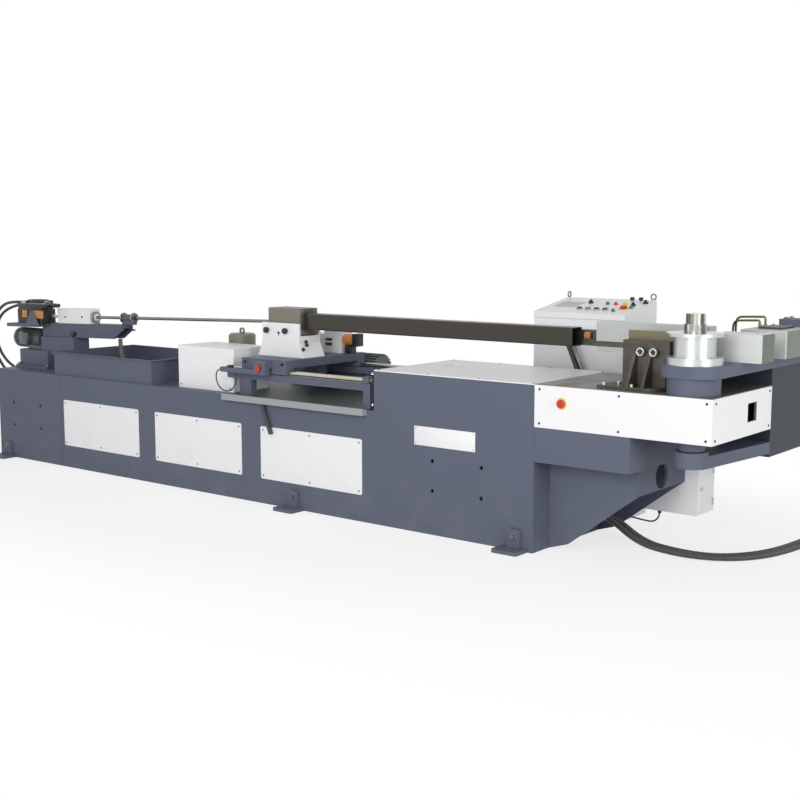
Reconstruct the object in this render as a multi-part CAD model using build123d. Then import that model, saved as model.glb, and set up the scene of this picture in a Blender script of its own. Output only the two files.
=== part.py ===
"""Hydraulic rotary draw mandrel bender for square tube.

Millimetres. The origin lies on the floor, in the middle of the four corner anchors.
X runs along the bed towards the bending head, Y to the rear and Z up.
"""
from math import atan, atan2, cos, degrees, hypot, pi, radians, sin, sqrt, tan
import os

from build123d import *

os.makedirs("parts", exist_ok=True)

# Clearances
run_gap = 0.3
slide_fit = 0.05
turn_fit = 0.05

# Bed
bed_length = 4800.0
bed_width = 764.0
bed_height = 664.0
bed_wall = 12.0
tail_length = 767.0
bed_edge = 6.0

# Access panels on the front of the bed
panel_count = 3
panel_width = 826.0
panel_height = 330.0
panel_pitch = 997.0
panel_first = 1588.0
panel_drop = 175.0
panel_sheet = 4.0
panel_overlap = 18.0
panel_corner = 12.0

# Tapped hole patterns on the front of the bed
lug_hole_r = 12.0
lug_pitch_x = 332.0
lug_pitch_z = 168.0
lug_drop = 330.0
head_lug_x = 499.0
tail_lug_x = 350.0

# Floor anchors
foot_width = 160.0
foot_reach = 115.0
foot_plate = 20.0
foot_lug_width = 80.0
foot_lug_height = 100.0
foot_lug_plate = 20.0
foot_corner = 14.0
anchor_r = 11.0
anchor_reach = 60.0
foot_inset = 110.0
mid_foot_back = 1720.0

# Head, nose and their sheet covers
head_length = 1085.0
head_rise = 230.0
head_wall = 12.0
cover_sheet = 6.0
cover_handle_length = 190.0
cover_handle_width = 46.0
cover_handle_x = 860.0
cover_handle_y = 480.0
nose_length = 985.0
nose_depth = 705.0
nose_height = 225.0
nose_wall = 12.0
nose_plate = 30.0
nose_sheet = 4.0
nose_sheet_drop = 3.0
window_width = 113.0
window_height = 95.0
window_y = 465.0
window_z = 115.0

# Support under the nose
support_length = 556.0
support_height = 185.0
support_wall = 15.0
web_length = 518.0
web_toe = 115.0
web_foot_z = 36.0
web_drop = 148.0
web_front = 160.0
web_plate = 18.0
gusset_hole_r = 70.0

# Spindle
spindle_reach = 819.0
spindle_inset = 140.0
spindle_r = 55.0
journal_r = 40.0
die_seat_r = 50.0
thread_r = 48.0
stub_r = 46.5
stub_height = 50.0
nut_r = 53.5
nut_height = 42.0
housing_r = 130.0
housing_height = 83.7
bearing_r = 95.0
bearing_height = 60.0
low_housing_r = 63.0
low_housing_drop = 53.0
low_bearing_r = 54.0
low_bearing_height = 44.0

# Bend drive
gear_module = 6.0
gear_teeth = 36
pinion_teeth = 12
gear_angle = radians(25.0)
gear_play = 0.5
gear_width = 58.0
gear_lift = 95.0
motor_r = 55.0
motor_gap = 2.0
motor_shaft_r = 16.0

# Bending arm
arm_half = 150.0
arm_front = 136.0
arm_corner = 110.0
arm_reach = 1140.0
arm_plate = 60.0
arm_throat = 600.0
arm_wall = 25.0
arm_low_plate = 62.0
arm_boss_r = 81.5
arm_boss_height = 80.0
arm_boss_gap = 4.0
arm_post_under = 18.0

# Tube and tooling
tube_size = 100.0
tube_wall = 5.0
tube_corner = 10.0
tube_length = 2081.0
die_r = 137.0
die_root_r = 101.7
die_low_flange = 36.7
die_top_flange = 16.7
groove_gap = 0.6
side_gap = 0.3

# Wiper
wiper_back = 399.0
wiper_length = 270.0
wiper_thick = 26.7
wiper_height = 105.0
wiper_blade_gap = 0.8
wiper_blade_back = 29.0
wiper_blade_root = 179.0
wiper_blade_trim = 2.3
holder_length = 237.0
holder_thick = 55.0
holder_top_drop = 45.0
holder_plate = 15.0
holder_plate_length = 342.0
holder_plate_back = 489.0
holder_plate_front = 60.0
holder_plate_depth = 270.0
holder_plate_corner = 90.0
holder_rib = 16.0
holder_rib_height = 170.0
holder_rib_pitch = 84.0
holder_nose = 20.0
holder_nose_lift = 26.0

# Pressure unit
press_gap = 3.0
base_gap = 7.0
base_length = 234.0
base_front = 75.0
base_clear = 5.0
base_top = 155.0
base_foot = 20.0
base_wall = 40.0
base_pocket = 190.0
table_tail = 3.0
table_depth = 248.0
table_front = 7.0
table_plate = 25.0
key_width = 60.0
key_depth = 18.0
rail_bar_width = 30.0
rail_bar_height = 29.5
rail_bar_inset = 15.0
rail_bar_tail = 132.0
assist_length = 116.0
assist_height = 54.0
assist_depth = 50.0
assist_inset = 18.0
assist_tail = 140.0
press_end_gap = 24.0
press_length = 640.0
press_depth = 55.0
press_body = 74.0
press_keel = 12.0
press_keel_depth = 8.0
press_cap = 29.0
press_cap_depth = 75.0
ram_r = 25.0
ram_length = 90.0
ram_block_width = 200.0
ram_block_depth = 125.0
ram_block_height = 75.0
press_stroke = 80.0

# Clamp
clamp_start = 5.0
clamp_width = 247.0
clamp_depth = 163.0
clamp_height = 140.0
clamp_slot_length = 125.0
clamp_slot_width = 18.0
clamp_slot_depth = 12.0
clamp_edge = 6.0
clamp_rod_r = 59.0
clamp_rod_reach = 290.0
clamp_stroke = 120.0
clamp_block_gap = 147.0
clamp_block_depth = 345.0
clamp_port_length = 120.0
clamp_port_depth = 180.0
clamp_port_height = 12.0
stop_block_width = 181.0
stop_block_depth = 140.0
stop_block_height = 178.0

# Carriage rails
beam_back = 2312.0
beam_length = 1182.0
beam_width = 50.0
beam_inset = 20.0
beam_top = 148.0
beam_height = 42.0
leg_length = 100.0
leg_end_length = 52.0
leg_inset = 110.0
guide_r = 14.0
guide_lift = 18.0
guide_web = 10.0

# Carriage
carriage_back = 2170.0
carriage_length = 380.0
carriage_plate_t = 50.0
carriage_clear = 11.0
truck_length = 186.0
truck_width = 70.0
truck_slot = 20.0
truck_drop = 12.0
nut_block_length = 100.0
nut_block_width = 80.0
nut_block_under = 25.0
stop_box_length = 100.0
stop_box_depth = 43.0
stop_box_height = 80.0
stop_box_x = 217.0
stop_box_front = 25.0
stop_box_lap = 39.0
stop_arm_length = 294.0
stop_arm_height = 30.0

# Chuck
chuck_side = 160.0
chuck_length = 272.0
chuck_back = 2130.0
chuck_corner = 8.0
chuck_foot_inset = 30.0
collet_r = 73.5
collet_flange_r = 78.0
collet_flange = 12.0
collet_gap = 2.0
collet_tail_r = 40.0
collet_seat = 150.0
skirt_length = 320.0
skirt_width = 195.0
skirt_height = 213.0
skirt_end_height = 135.0
skirt_sheet = 4.0
skirt_back = 2170.0
skirt_corner = 10.0
skirt_flare = 35.0
skirt_flare_low = 8.0
skirt_flare_high = 90.0
drive_box_y = 600.0
drive_box_depth = 110.0
drive_box_1_length = 123.0
drive_box_1_height = 120.0
drive_box_2_length = 145.0
drive_box_2_height = 140.0
drive_motor_r = 34.0
drive_motor_length = 90.0

# Feed drive
screw_r = 16.0
screw_y = 500.0
screw_z = 84.0
screw_seat = 40.0
gearbox_back = 2850.0
gearbox_length = 300.0
gearbox_front = 420.0
gearbox_depth = 220.0
gearbox_height = 190.0
gearbox_corner = 14.0
feed_motor_r = 92.0
feed_motor_height = 146.0
feed_motor_cap = 12.0
lift_eye_r = 17.0
lift_eye_wire = 5.0
cover_back = 2841.0
cover_length = 525.0
cover_front = 75.0
cover_depth = 325.0
cover_height = 279.0
cover_wall = 4.0
cover_corner = 8.0
end_block_length = 30.0
end_block_width = 80.0
end_block_over = 36.0

# Drip tray with gutter and spout
drip_back = 2310.0
drip_length = 1170.0
drip_sheet = 3.0
drip_depth = 740.0
gutter_depth = 40.0
gutter_drop = 32.0
gutter_rise = 6.0
spout_r = 14.0
spout_x = 1972.0
spout_length = 200.0
spout_lean = 22.5

# Oil tray
oil_back = 4122.0
oil_length = 1071.0
oil_width = 724.0
oil_height = 164.0
oil_wall = 6.0
oil_rim = 14.0

# Mandrel unit on the tail
mandrel_tilt = 1.5
mandrel_cross = 1600.0
mandrel_back = 2445.0
rod_r = 11.0
rod_reach = 600.0
plug_r = 20.0
plug_length = 120.0
head_block_back = 330.0
head_block_front = 55.0
head_block_half = 45.0
head_block_low = 48.0
head_block_high = 62.0
head_collar_r = 25.0
head_collar = 25.0
rod_seat = 60.0
draw_rod_r = 12.0
draw_rod_length = 330.0
draw_stroke = 150.0
cyl_start = 490.0
cyl_length = 340.0
cyl_half = 50.0
cyl_high = 55.0
beam_half = 50.0
beam_drop = 102.0
beam_tail = 520.0
beam_tip = 420.0
beam_tip_rise = 60.0
beam_slot = 60.0
beam_slot_depth = 76.0
shelf_tail = 840.0
shelf_plate = 26.0
shelf_front = 145.0
shelf_rear = 60.0
shelf_lap = 40.0
valve_length = 300.0
valve_depth = 88.0
valve_high = 55.0
valve_back = 700.0
port_r = 14.0
port_high = 118.0
port_a_back = 760.0
port_b_back = 506.0
port_b_side = 30.0
bush_r = 25.0
bush_length = 120.0
bush_over = 85.0
bush_foot = 36.0
handle_gap = 43.0
handle_r = 8.0
handle_seat = 25.0
handle_drop = 37.0
handle_bar_r = 6.0
handle_bar = 76.0
tower_head = 400.0
tower_head_half = 70.0
tower_head_drop = 140.0
tower_block_back = 4790.0
tower_block_length = 350.0
tower_block_width = 200.0
tower_block_height = 136.0
tower_flange = 20.0
tower_flange_lip = 40.0
tail_motor_r = 78.0
tail_motor_length = 330.0
tail_motor_back = 4920.0
tail_motor_lift = 80.0
tail_motor_foot = 160.0
tail_motor_foot_width = 100.0
tail_motor_boss_r = 58.0
tail_motor_boss = 40.0

# Pump motor behind the bed
pump_r = 104.0
pump_length = 300.0
pump_back = 2045.0
pump_lift = 120.0
pump_gap = 11.0
pump_foot_length = 180.0
pump_foot_height = 60.0
pump_foot_drop = 104.0
pump_cowl_r = 90.0
pump_cowl = 50.0

# Cooling fins of the motors
fin_depth = 9.0
fin_width = 5.0
fin_count = 28

# Console
console_width = 610.0
console_x = 577.0
console_depth = 390.0
console_gap = 5.0
console_height = 1214.0
console_rise = 68.0
console_sheet = 4.0
console_seam = 34.0
console_lip = 8.0
console_plinth = 80.0
console_plinth_inset = 25.0
console_eye_x = 20.0
console_eye_right = 594.0
console_eye_y = 12.0
console_eye_r = 16.0
console_eye_wire = 4.5
console_eye_collar_r = 9.0
console_eye_collar = 6.0
duct_width = 120.0
duct_height = 100.0
duct_z = 200.0
duct_x = 300.0

# Junction box
junction_x = 100.0
junction_length = 496.0
junction_depth = 200.0
junction_gap = 43.0
junction_height = 288.0
junction_corner = 8.0
junction_door = 3.0
junction_door_inset = 14.0

# Push buttons
button_r = 14.0
button_cap = 8.0
button_stem_r = 8.0
button_stem = 12.0
button_travel = 5.0
button_row = 98.0
button_first = 258.0
button_pitch = 57.0
button_count = 4
stop_r = 21.0
stop_cap = 14.0
stop_stem_r = 10.0
stop_stem = 18.0
stop_travel = 6.0
stop_edge = 4.0
stop_pocket = 2.0
console_stop_x = 524.0
console_stop_row = 146.0
nose_stop_x = 163.0
nose_stop_z = 135.0

# Conduits, hoses and cable
conduit_d = 34.0
conduit_pitch = 38.0
coupling_r = 24.0
coupling_length = 70.0
conduit_bore = 26.0
conduit_valley = 29.0
rib_count = 100
hose_d = 22.0
drain_d = 30.0
drain_at = 335.0
loop_d = 9.0
cable_d = 8.0

# Places shared by several pieces
head_x = bed_length / 2
tail_x = -bed_length / 2
front_y = -bed_width / 2
rear_y = bed_width / 2
split_x = tail_x + tail_length
panel_z = bed_height - panel_drop - panel_height / 2
lug_z = bed_height - lug_drop
pump_z = bed_height + pump_lift
pump_foot_low = bed_height - pump_foot_drop
head_top = bed_height + head_rise
table_z = head_top + cover_sheet
nose_x = head_x + nose_length
nose_rear = front_y + nose_depth
nose_z = table_z - nose_height
support_z = nose_z - support_height
web_end_z = support_z - web_drop
junction_z = support_z - junction_gap - junction_height
spindle_x = head_x + spindle_reach
spindle_y = front_y + spindle_inset
arm_z = table_z + housing_height + run_gap
die_z = arm_z + arm_plate
groove_height = tube_size + groove_gap
die_height = die_low_flange + groove_height + die_top_flange
die_top = die_z + die_height
nut_top = die_top + nut_height
tube_z = die_z + die_low_flange + groove_height / 2
tube_y = spindle_y + die_root_r + side_gap + tube_size / 2
clamp_left = spindle_x + clamp_start
clamp_right = clamp_left + clamp_width
press_face = tube_y + tube_size / 2 + press_gap
clamp_back = press_face + clamp_depth
clamp_end = clamp_back + clamp_block_gap + clamp_block_depth
gear_z = nose_z + gear_lift
pinion_x = spindle_x - gear_module * (gear_teeth + pinion_teeth) / 2
low_z = nose_z - low_housing_drop
boss_top = low_z - arm_boss_gap
boss_z = boss_top - arm_boss_height


def block(x0, x1, y0, y1, z0, z1):
    """Rectangular block between two corners."""
    return Pos((x0 + x1) / 2, (y0 + y1) / 2, (z0 + z1) / 2) * Box(x1 - x0, y1 - y0, z1 - z0)


def bar_x(r, x0, x1, y, z):
    """Round bar along X."""
    return Pos((x0 + x1) / 2, y, z) * Rot(0, 90, 0) * Cylinder(r, x1 - x0)


def bar_y(r, x, y0, y1, z):
    """Round bar along Y."""
    return Pos(x, (y0 + y1) / 2, z) * Rot(90, 0, 0) * Cylinder(r, y1 - y0)


def bar_z(r, x, y, z0, z1):
    """Round bar along Z."""
    return Pos(x, y, (z0 + z1) / 2) * Cylinder(r, z1 - z0)


def prism_x(points, x0, x1):
    """Outline in Y and Z, drawn out along X."""
    plane = Plane(origin=(x0, 0, 0), x_dir=(0, 1, 0), z_dir=(1, 0, 0))
    return extrude(plane * make_face(Polyline(*points, close=True)), amount=x1 - x0)


def prism_y(points, y0, y1):
    """Outline in X and Z, drawn out along Y."""
    plane = Plane(origin=(0, y1, 0), x_dir=(1, 0, 0), z_dir=(0, -1, 0))
    return extrude(plane * make_face(Polyline(*points, close=True)), amount=y1 - y0)


def prism_z(points, z0, z1):
    """Outline in X and Y, drawn out along Z."""
    plane = Plane(origin=(0, 0, z0), x_dir=(1, 0, 0), z_dir=(0, 0, 1))
    return extrude(plane * make_face(Polyline(*points, close=True)), amount=z1 - z0)


def turned(x, y, profile):
    """Profile of radius and height, turned about a vertical axis."""
    face = Plane.XZ * make_face(Polyline(*profile, close=True))
    return Pos(x, y, 0) * revolve(face, Axis.Z, 360)


def finned(r, length, count):
    """Motor barrel with cooling fins, standing on its end."""
    core = r - fin_depth
    section = Circle(core)
    for place in PolarLocations(core, count):
        section += place * Rectangle(2 * fin_depth, fin_width)
    return extrude(section, amount=length)


def save(name, *solids):
    """Write one named piece."""
    shape = solids[0] if len(solids) == 1 else Compound(children=list(solids))
    export_step(shape, "parts/" + name + ".step")


def gear(teeth, x, y, z0, z1, bore, turn):
    """Spur gear with involute flanks."""
    pitch_r = teeth * gear_module / 2
    base_r = pitch_r * cos(gear_angle)
    root_r = pitch_r - 1.25 * gear_module
    tip_r = pitch_r + gear_module
    half = (pi * gear_module / 2 - gear_play) / 2 / pitch_r + tan(gear_angle) - gear_angle

    def spread(r):
        if r <= base_r:
            return half
        lean = sqrt((r / base_r) ** 2 - 1)
        return half - (lean - atan(lean))

    low = max(root_r, base_r)
    radii = [low + (tip_r - low) * step / 4 for step in range(5)]
    if root_r < base_r:
        radii = [root_r] + radii
    points = []
    for tooth in range(teeth):
        middle = turn + 2 * pi * tooth / teeth
        for r in radii:
            points.append((r * cos(middle - spread(r)), r * sin(middle - spread(r))))
        for r in reversed(radii):
            points.append((r * cos(middle + spread(r)), r * sin(middle + spread(r))))
    wheel = Pos(x, y, 0) * prism_z(points, z0, z1)
    return wheel - bar_z(bore, x, y, z0 - 1, z1 + 1)


def cord_path(name, points):
    """Straight runs and tangent arcs through the points, with the length printed."""
    runs = [Vector(*b) - Vector(*a) for a, b in zip(points, points[1:])]
    radii = []
    for a, b in zip(runs, runs[1:]):
        half_turn = radians(a.get_angle(b)) / 2
        radii.append(0.45 * min(a.length, b.length) / tan(half_turn))
    path = FilletPolyline(*points, radius=radii)
    print(name, "length", round(path.length), "radii", [round(r) for r in radii])
    return path


def cord(name, points, d):
    """Round cord along its path."""
    path = cord_path(name, points)
    start = Plane(origin=path @ 0, z_dir=path % 0)
    return sweep(start * Circle(d / 2), path=path)


def ribbed(name, points):
    """Corrugated conduit: ribs lofted through circles along its path, with an open bore."""
    path = cord_path(name, points)
    wires = []
    for rib in range(rib_count):
        for step, d in ((0.0, conduit_valley), (0.2, conduit_d), (0.5, conduit_d), (0.7, conduit_valley)):
            wires.append(ring(path, (rib + step) / rib_count, d))
    wires.append(ring(path, 1, conduit_valley))
    outside = Solid.make_loft(wires, ruled=True)
    start = Plane(origin=path @ 0, z_dir=path % 0)
    return outside - sweep(start * Circle(conduit_bore / 2), path=path)


def ring(path, share, d):
    """Circle square to the path, a share of the way along it, on a steady upright axis."""
    way = path % share
    up = Vector(0, 0, 1)
    plane = Plane(origin=path @ share, x_dir=up - way * up.dot(way), z_dir=way)
    return Wire.make_circle(d / 2, plane)


def bed_frame():
    """Tail section and main section of the welded bed, open below."""
    tail = block(tail_x, split_x, front_y, rear_y, 0, bed_height)
    tail = fillet(tail.edges().filter_by(Axis.X).sort_by(Axis.Z)[-2:], bed_edge)
    tail -= block(tail_x + bed_wall, split_x - bed_wall, front_y + bed_wall, rear_y - bed_wall,
                  -1, bed_height - bed_wall)
    main = block(split_x, head_x, front_y, rear_y, 0, bed_height)
    main -= block(split_x + bed_wall, head_x - bed_wall, front_y + bed_wall, rear_y - bed_wall,
                  -1, bed_height - bed_wall)
    opening_x = panel_width / 2 - panel_overlap
    opening_z = panel_height / 2 - panel_overlap
    for number in range(panel_count):
        x = head_x - panel_first - number * panel_pitch
        main -= block(x - opening_x, x + opening_x, front_y - 1, front_y + bed_wall + 1,
                      panel_z - opening_z, panel_z + opening_z)
    for x, section in ((head_x - head_lug_x, "main"), (tail_x + tail_lug_x, "tail")):
        for i in (-0.5, 0.5):
            for k in (-0.5, 0.5):
                hole = bar_y(lug_hole_r, x + i * lug_pitch_x, front_y - 1, front_y + bed_wall + 1,
                             lug_z + k * lug_pitch_z)
                if section == "main":
                    main -= hole
                else:
                    tail -= hole
    save("bed_frame", tail, main)


def anchor_feet():
    """Six angle brackets, bolted to the bed and to the floor."""
    feet = []
    for x in (tail_x + foot_inset, head_x - mid_foot_back, head_x - foot_inset):
        for side in (-1, 1):
            plate = block(-foot_width / 2, foot_width / 2, 0, foot_reach, 0, foot_plate)
            plate = fillet(plate.edges().filter_by(Axis.Z).sort_by(Axis.Y)[-2:], foot_corner)
            plate -= bar_z(anchor_r, 0, anchor_reach, -1, foot_plate + 1)
            top = foot_plate + foot_lug_height
            lug = block(-foot_lug_width / 2, foot_lug_width / 2, 0, foot_lug_plate, foot_plate, top)
            lug = fillet(lug.edges().filter_by(Axis.Y).sort_by(Axis.Z)[-2:], foot_corner)
            turn = 180 if side < 0 else 0
            feet.append(Pos(x, side * bed_width / 2, 0) * Rot(0, 0, turn) * (plate + lug))
    save("anchor_feet", *feet)


def access_panels():
    """Sheet panels over the openings in the front of the bed."""
    panels = []
    for number in range(panel_count):
        x = head_x - panel_first - number * panel_pitch
        panel = block(x - panel_width / 2, x + panel_width / 2, front_y - panel_sheet, front_y,
                      panel_z - panel_height / 2, panel_z + panel_height / 2)
        panels.append(fillet(panel.edges().filter_by(Axis.Y), panel_corner))
    save("access_panels", *panels)


def head_frame():
    """Raised head box and the cantilever nose box, open on top."""
    head = block(head_x - head_length, head_x, front_y, rear_y, bed_height, head_top)
    head -= block(head_x - head_length + head_wall, head_x - head_wall, front_y + head_wall,
                  rear_y - head_wall, bed_height - 1, head_top + 1)
    side = front_y + nose_sheet
    end = nose_x - nose_sheet
    top = table_z - nose_plate
    nose = block(head_x, end, side, nose_rear, nose_z, top)
    nose -= block(head_x + nose_wall, end - nose_wall, side + nose_wall, nose_rear - nose_wall,
                  nose_z + nose_wall, top + 1)
    nose -= bar_z(low_housing_r, spindle_x, spindle_y, nose_z - 1, nose_z + nose_wall + 1)
    nose -= bar_y(stop_stem_r + turn_fit, head_x + nose_stop_x, front_y - 1,
                  side + nose_wall + 1, nose_z + nose_stop_z)
    window = end - nose_wall - 1
    nose -= block(window, end + 1, front_y + window_y - window_width / 2,
                  front_y + window_y + window_width / 2,
                  nose_z + window_z - window_height / 2, nose_z + window_z + window_height / 2)
    save("head_frame", head + nose)


def nose_support():
    """Box under the nose, carried by two slanted webs with a cross plate."""
    low = support_z
    upper = block(head_x, head_x + support_length, front_y, nose_rear, low, nose_z)
    upper -= block(head_x + support_wall, head_x + support_length - support_wall,
                   front_y + support_wall, nose_rear - support_wall, low + support_wall, nose_z + 1)
    outline = [(head_x, 0), (head_x + web_toe, web_foot_z),
               (head_x + web_length, web_end_z), (head_x + web_length, low), (head_x, low)]
    first = front_y + web_front
    front = prism_y(outline, first, first + web_plate)
    rear = prism_y(outline, nose_rear - web_plate, nose_rear)
    cross = block(head_x + web_length - web_plate, head_x + web_length, first, nose_rear,
                  web_end_z, low)
    cross -= bar_x(gusset_hole_r, head_x + web_length - web_plate - 1, head_x + web_length + 1,
                   (first + nose_rear) / 2, (web_end_z + low) / 2)
    save("nose_support", upper + front + rear + cross)


def head_covers():
    """Nose plate, head cover with its grip slot, and the nose panels."""
    side = front_y + nose_sheet
    end = nose_x - nose_sheet
    plate = block(head_x, end, side, nose_rear, table_z - nose_plate, table_z)
    plate -= bar_z(spindle_r + 5, spindle_x, spindle_y, table_z - nose_plate - 1, table_z + 1)
    save("nose_top_plate", plate)
    cover = block(head_x - head_length, head_x, front_y, rear_y, head_top, table_z)
    slot = extrude(Plane(origin=(head_x - cover_handle_x, front_y + cover_handle_y, head_top - 1))
                   * SlotOverall(cover_handle_length, cover_handle_width), amount=cover_sheet + 2)
    save("head_cover", cover - slot)
    top = table_z - nose_sheet_drop
    front = block(head_x, nose_x, front_y, side, nose_z, top)
    front -= bar_y(stop_stem_r + turn_fit, head_x + nose_stop_x, front_y - 1, side + 1,
                   nose_z + nose_stop_z)
    cap = block(end, nose_x, side, nose_rear, nose_z, top)
    cap -= block(end - 1, nose_x + 1, front_y + window_y - window_width / 2,
                 front_y + window_y + window_width / 2,
                 nose_z + window_z - window_height / 2, nose_z + window_z + window_height / 2)
    save("nose_panels", front, cap)


def spindle_group():
    """Housings, bearings, spindle, die, nut, gear, pinion and motor."""
    x = spindle_x
    y = spindle_y
    upper = turned(0, 0, [(bearing_r, table_z), (housing_r, table_z),
                          (housing_r, table_z + housing_height),
                          (spindle_r + 5, table_z + housing_height),
                          (spindle_r + 5, table_z + bearing_height),
                          (bearing_r, table_z + bearing_height)])
    lower = bar_z(low_housing_r, 0, 0, low_z, nose_z + nose_wall)
    lower -= bar_z(low_bearing_r, 0, 0, low_z - 1, nose_z + nose_wall + 1)
    save("spindle_housings", Pos(x, y, 0) * upper, Pos(x, y, 0) * lower)
    top_bearing = bar_z(bearing_r, x, y, table_z, table_z + bearing_height)
    top_bearing -= bar_z(spindle_r + turn_fit, x, y, table_z - 1, table_z + bearing_height + 1)
    low_mid = (low_z + nose_z + nose_wall) / 2
    low_bearing = bar_z(low_bearing_r, x, y, low_mid - low_bearing_height / 2,
                        low_mid + low_bearing_height / 2)
    low_bearing -= bar_z(journal_r + turn_fit, x, y, low_z - 1, nose_z + nose_wall + 1)
    save("spindle_bearings", top_bearing, low_bearing)
    shoulder = nose_z + 2 * nose_wall
    shaft = turned(x, y, [(0, boss_z), (journal_r, boss_z), (journal_r, shoulder),
                          (spindle_r, shoulder), (spindle_r, die_z), (die_seat_r, die_z),
                          (die_seat_r, die_top), (thread_r, die_top),
                          (thread_r, nut_top), (stub_r, nut_top),
                          (stub_r, nut_top + stub_height), (0, nut_top + stub_height)])
    save("spindle", shaft)
    low = die_z + die_low_flange
    high = low + groove_height
    die = turned(x, y, [(die_seat_r, die_z), (die_r, die_z), (die_r, low), (die_root_r, low),
                        (die_root_r, high), (die_r, high), (die_r, die_top), (die_seat_r, die_top)])
    save("bend_die", die)
    nut = bar_z(nut_r, x, y, die_top, nut_top)
    save("die_nut", nut - bar_z(thread_r, x, y, die_top - 1, nut_top + 1))
    wheel = gear(gear_teeth, x, y, gear_z, gear_z + gear_width, spindle_r, 0.0)
    save("bend_gear", wheel)
    pinion = gear(pinion_teeth, pinion_x, y, gear_z, gear_z + gear_width, motor_shaft_r,
                  pi / pinion_teeth)
    shaft = bar_z(motor_shaft_r, pinion_x, y, gear_z - motor_gap - screw_seat, gear_z + gear_width)
    save("drive_pinion", pinion + shaft)
    motor = bar_z(motor_r, pinion_x, y, nose_z + nose_wall, gear_z - motor_gap)
    motor -= bar_z(motor_shaft_r + turn_fit, pinion_x, y, gear_z - motor_gap - screw_seat - run_gap,
                   gear_z)
    save("bend_motor", motor)


def bending_arm():
    """C-shaped arm: eye plate with the clamp's stop block, post and lower plate."""
    eye = block(spindle_x - arm_half, spindle_x + arm_half, spindle_y - arm_front,
                spindle_y + arm_reach, arm_z, die_z)
    eye = fillet(eye.edges().filter_by(Axis.Z).sort_by(Axis.Y)[:2], arm_corner)
    eye -= bar_z(spindle_r, spindle_x, spindle_y, arm_z - 1, die_z + 1)
    stop = block(clamp_right - stop_block_width, clamp_right, clamp_end, clamp_end + stop_block_depth,
                 die_z, die_z + stop_block_height)
    save("arm_top_plate", eye, stop)
    low = boss_z - arm_post_under
    inner = spindle_y + arm_throat
    outer = spindle_y + arm_reach
    post = block(spindle_x - arm_half, spindle_x + arm_half, inner, outer, low, arm_z)
    post -= block(spindle_x - arm_half + arm_wall, spindle_x + arm_half - arm_wall, inner + arm_wall,
                  outer - arm_wall, low + arm_wall, arm_z + 1)
    save("arm_post", post)
    lean = atan((arm_half - arm_boss_r) / arm_throat)
    side_x = arm_boss_r * cos(lean)
    side_y = -arm_boss_r * sin(lean)
    outline = [(spindle_x - side_x, spindle_y + side_y), (spindle_x + side_x, spindle_y + side_y),
               (spindle_x + arm_half, inner), (spindle_x - arm_half, inner)]
    plate = prism_z(outline, boss_z, boss_z + arm_low_plate)
    plate += bar_z(arm_boss_r, spindle_x, spindle_y, boss_z, boss_top)
    plate -= bar_z(journal_r, spindle_x, spindle_y, boss_z - 1, boss_top + 1)
    save("arm_bottom_plate", plate)


def clamp_unit():
    """Clamp cylinder on the arm and the clamp die with its ram."""
    left = clamp_left
    right = clamp_right
    front = press_face
    back = clamp_back
    mid_x = (left + right) / 2
    mid_z = die_z + clamp_height / 2
    die = block(left, right, front, back, die_z + run_gap, die_z + clamp_height)
    die = chamfer(die.edges().filter_by(Axis.Z), clamp_edge)
    slot = extrude(Plane(origin=(mid_x, (front + back) / 2, die_z + clamp_height - clamp_slot_depth))
                   * SlotOverall(clamp_slot_length, clamp_slot_width), amount=clamp_slot_depth + 1)
    ram = bar_y(clamp_rod_r, mid_x, back - clamp_edge, back + clamp_rod_reach, mid_z)
    save("clamp_die", die - slot + ram)
    start = back + clamp_block_gap
    end = clamp_end
    case = block(left, right, start, end, die_z, die_z + clamp_height)
    case = chamfer(case.edges().filter_by(Axis.Z), clamp_edge)
    case -= bar_y(clamp_rod_r + slide_fit, mid_x, start - 1,
                  back + clamp_rod_reach + clamp_stroke + run_gap, mid_z)
    port_y = (start + end) / 2
    case += block(mid_x - clamp_port_length / 2, mid_x + clamp_port_length / 2,
                  port_y - clamp_port_depth / 2, port_y + clamp_port_depth / 2,
                  die_z + clamp_height, die_z + clamp_height + clamp_port_height)
    save("clamp_cylinder", case)


def wiper_unit():
    """Ribbed wiper holder and the wiper die with its feather edge."""
    face = tube_y - tube_size / 2 - side_gap
    rear = face - wiper_thick
    left = spindle_x - wiper_back
    base_z = tube_z - groove_height / 2 + wiper_blade_trim
    die = block(left, left + wiper_length, rear, face, base_z, base_z + wiper_height)
    blade_high = tube_z + groove_height / 2 - wiper_blade_trim
    blade = block(spindle_x - wiper_blade_root, spindle_x - wiper_blade_back,
                  rear, face, base_z, blade_high)
    blade -= bar_z(die_root_r + wiper_blade_gap, spindle_x, spindle_y, base_z - 1, blade_high + 1)
    save("wiper_die", die + blade)
    foot = table_z + holder_plate
    top = base_z + wiper_height - holder_top_drop
    front = rear - holder_thick
    end = left + holder_length
    nose_low = die_z + holder_nose_lift
    outline = [(left, foot), (end, foot), (end, nose_low), (end + holder_nose, nose_low),
               (end + holder_nose, top), (left, top)]
    wall = prism_y(outline, front, rear)
    plate_x = spindle_x - holder_plate_back
    plate = block(plate_x, plate_x + holder_plate_length, front_y + holder_plate_front,
                  front_y + holder_plate_front + holder_plate_depth, table_z, foot)
    corner = plate.edges().filter_by(Axis.Z).sort_by(Axis.X)[-2:].sort_by(Axis.Y)[0]
    plate = fillet(corner, holder_plate_corner)
    body = wall + plate
    middle = (left + end) / 2
    for side in (-0.5, 0.5):
        x = middle + side * holder_rib_pitch
        rib = [(front_y + holder_plate_front, foot), (front, foot), (front, foot + holder_rib_height),
               (front - holder_rib, foot + holder_rib_height)]
        body += prism_x(rib, x - holder_rib / 2, x + holder_rib / 2)
    save("wiper_holder", body)


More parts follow.
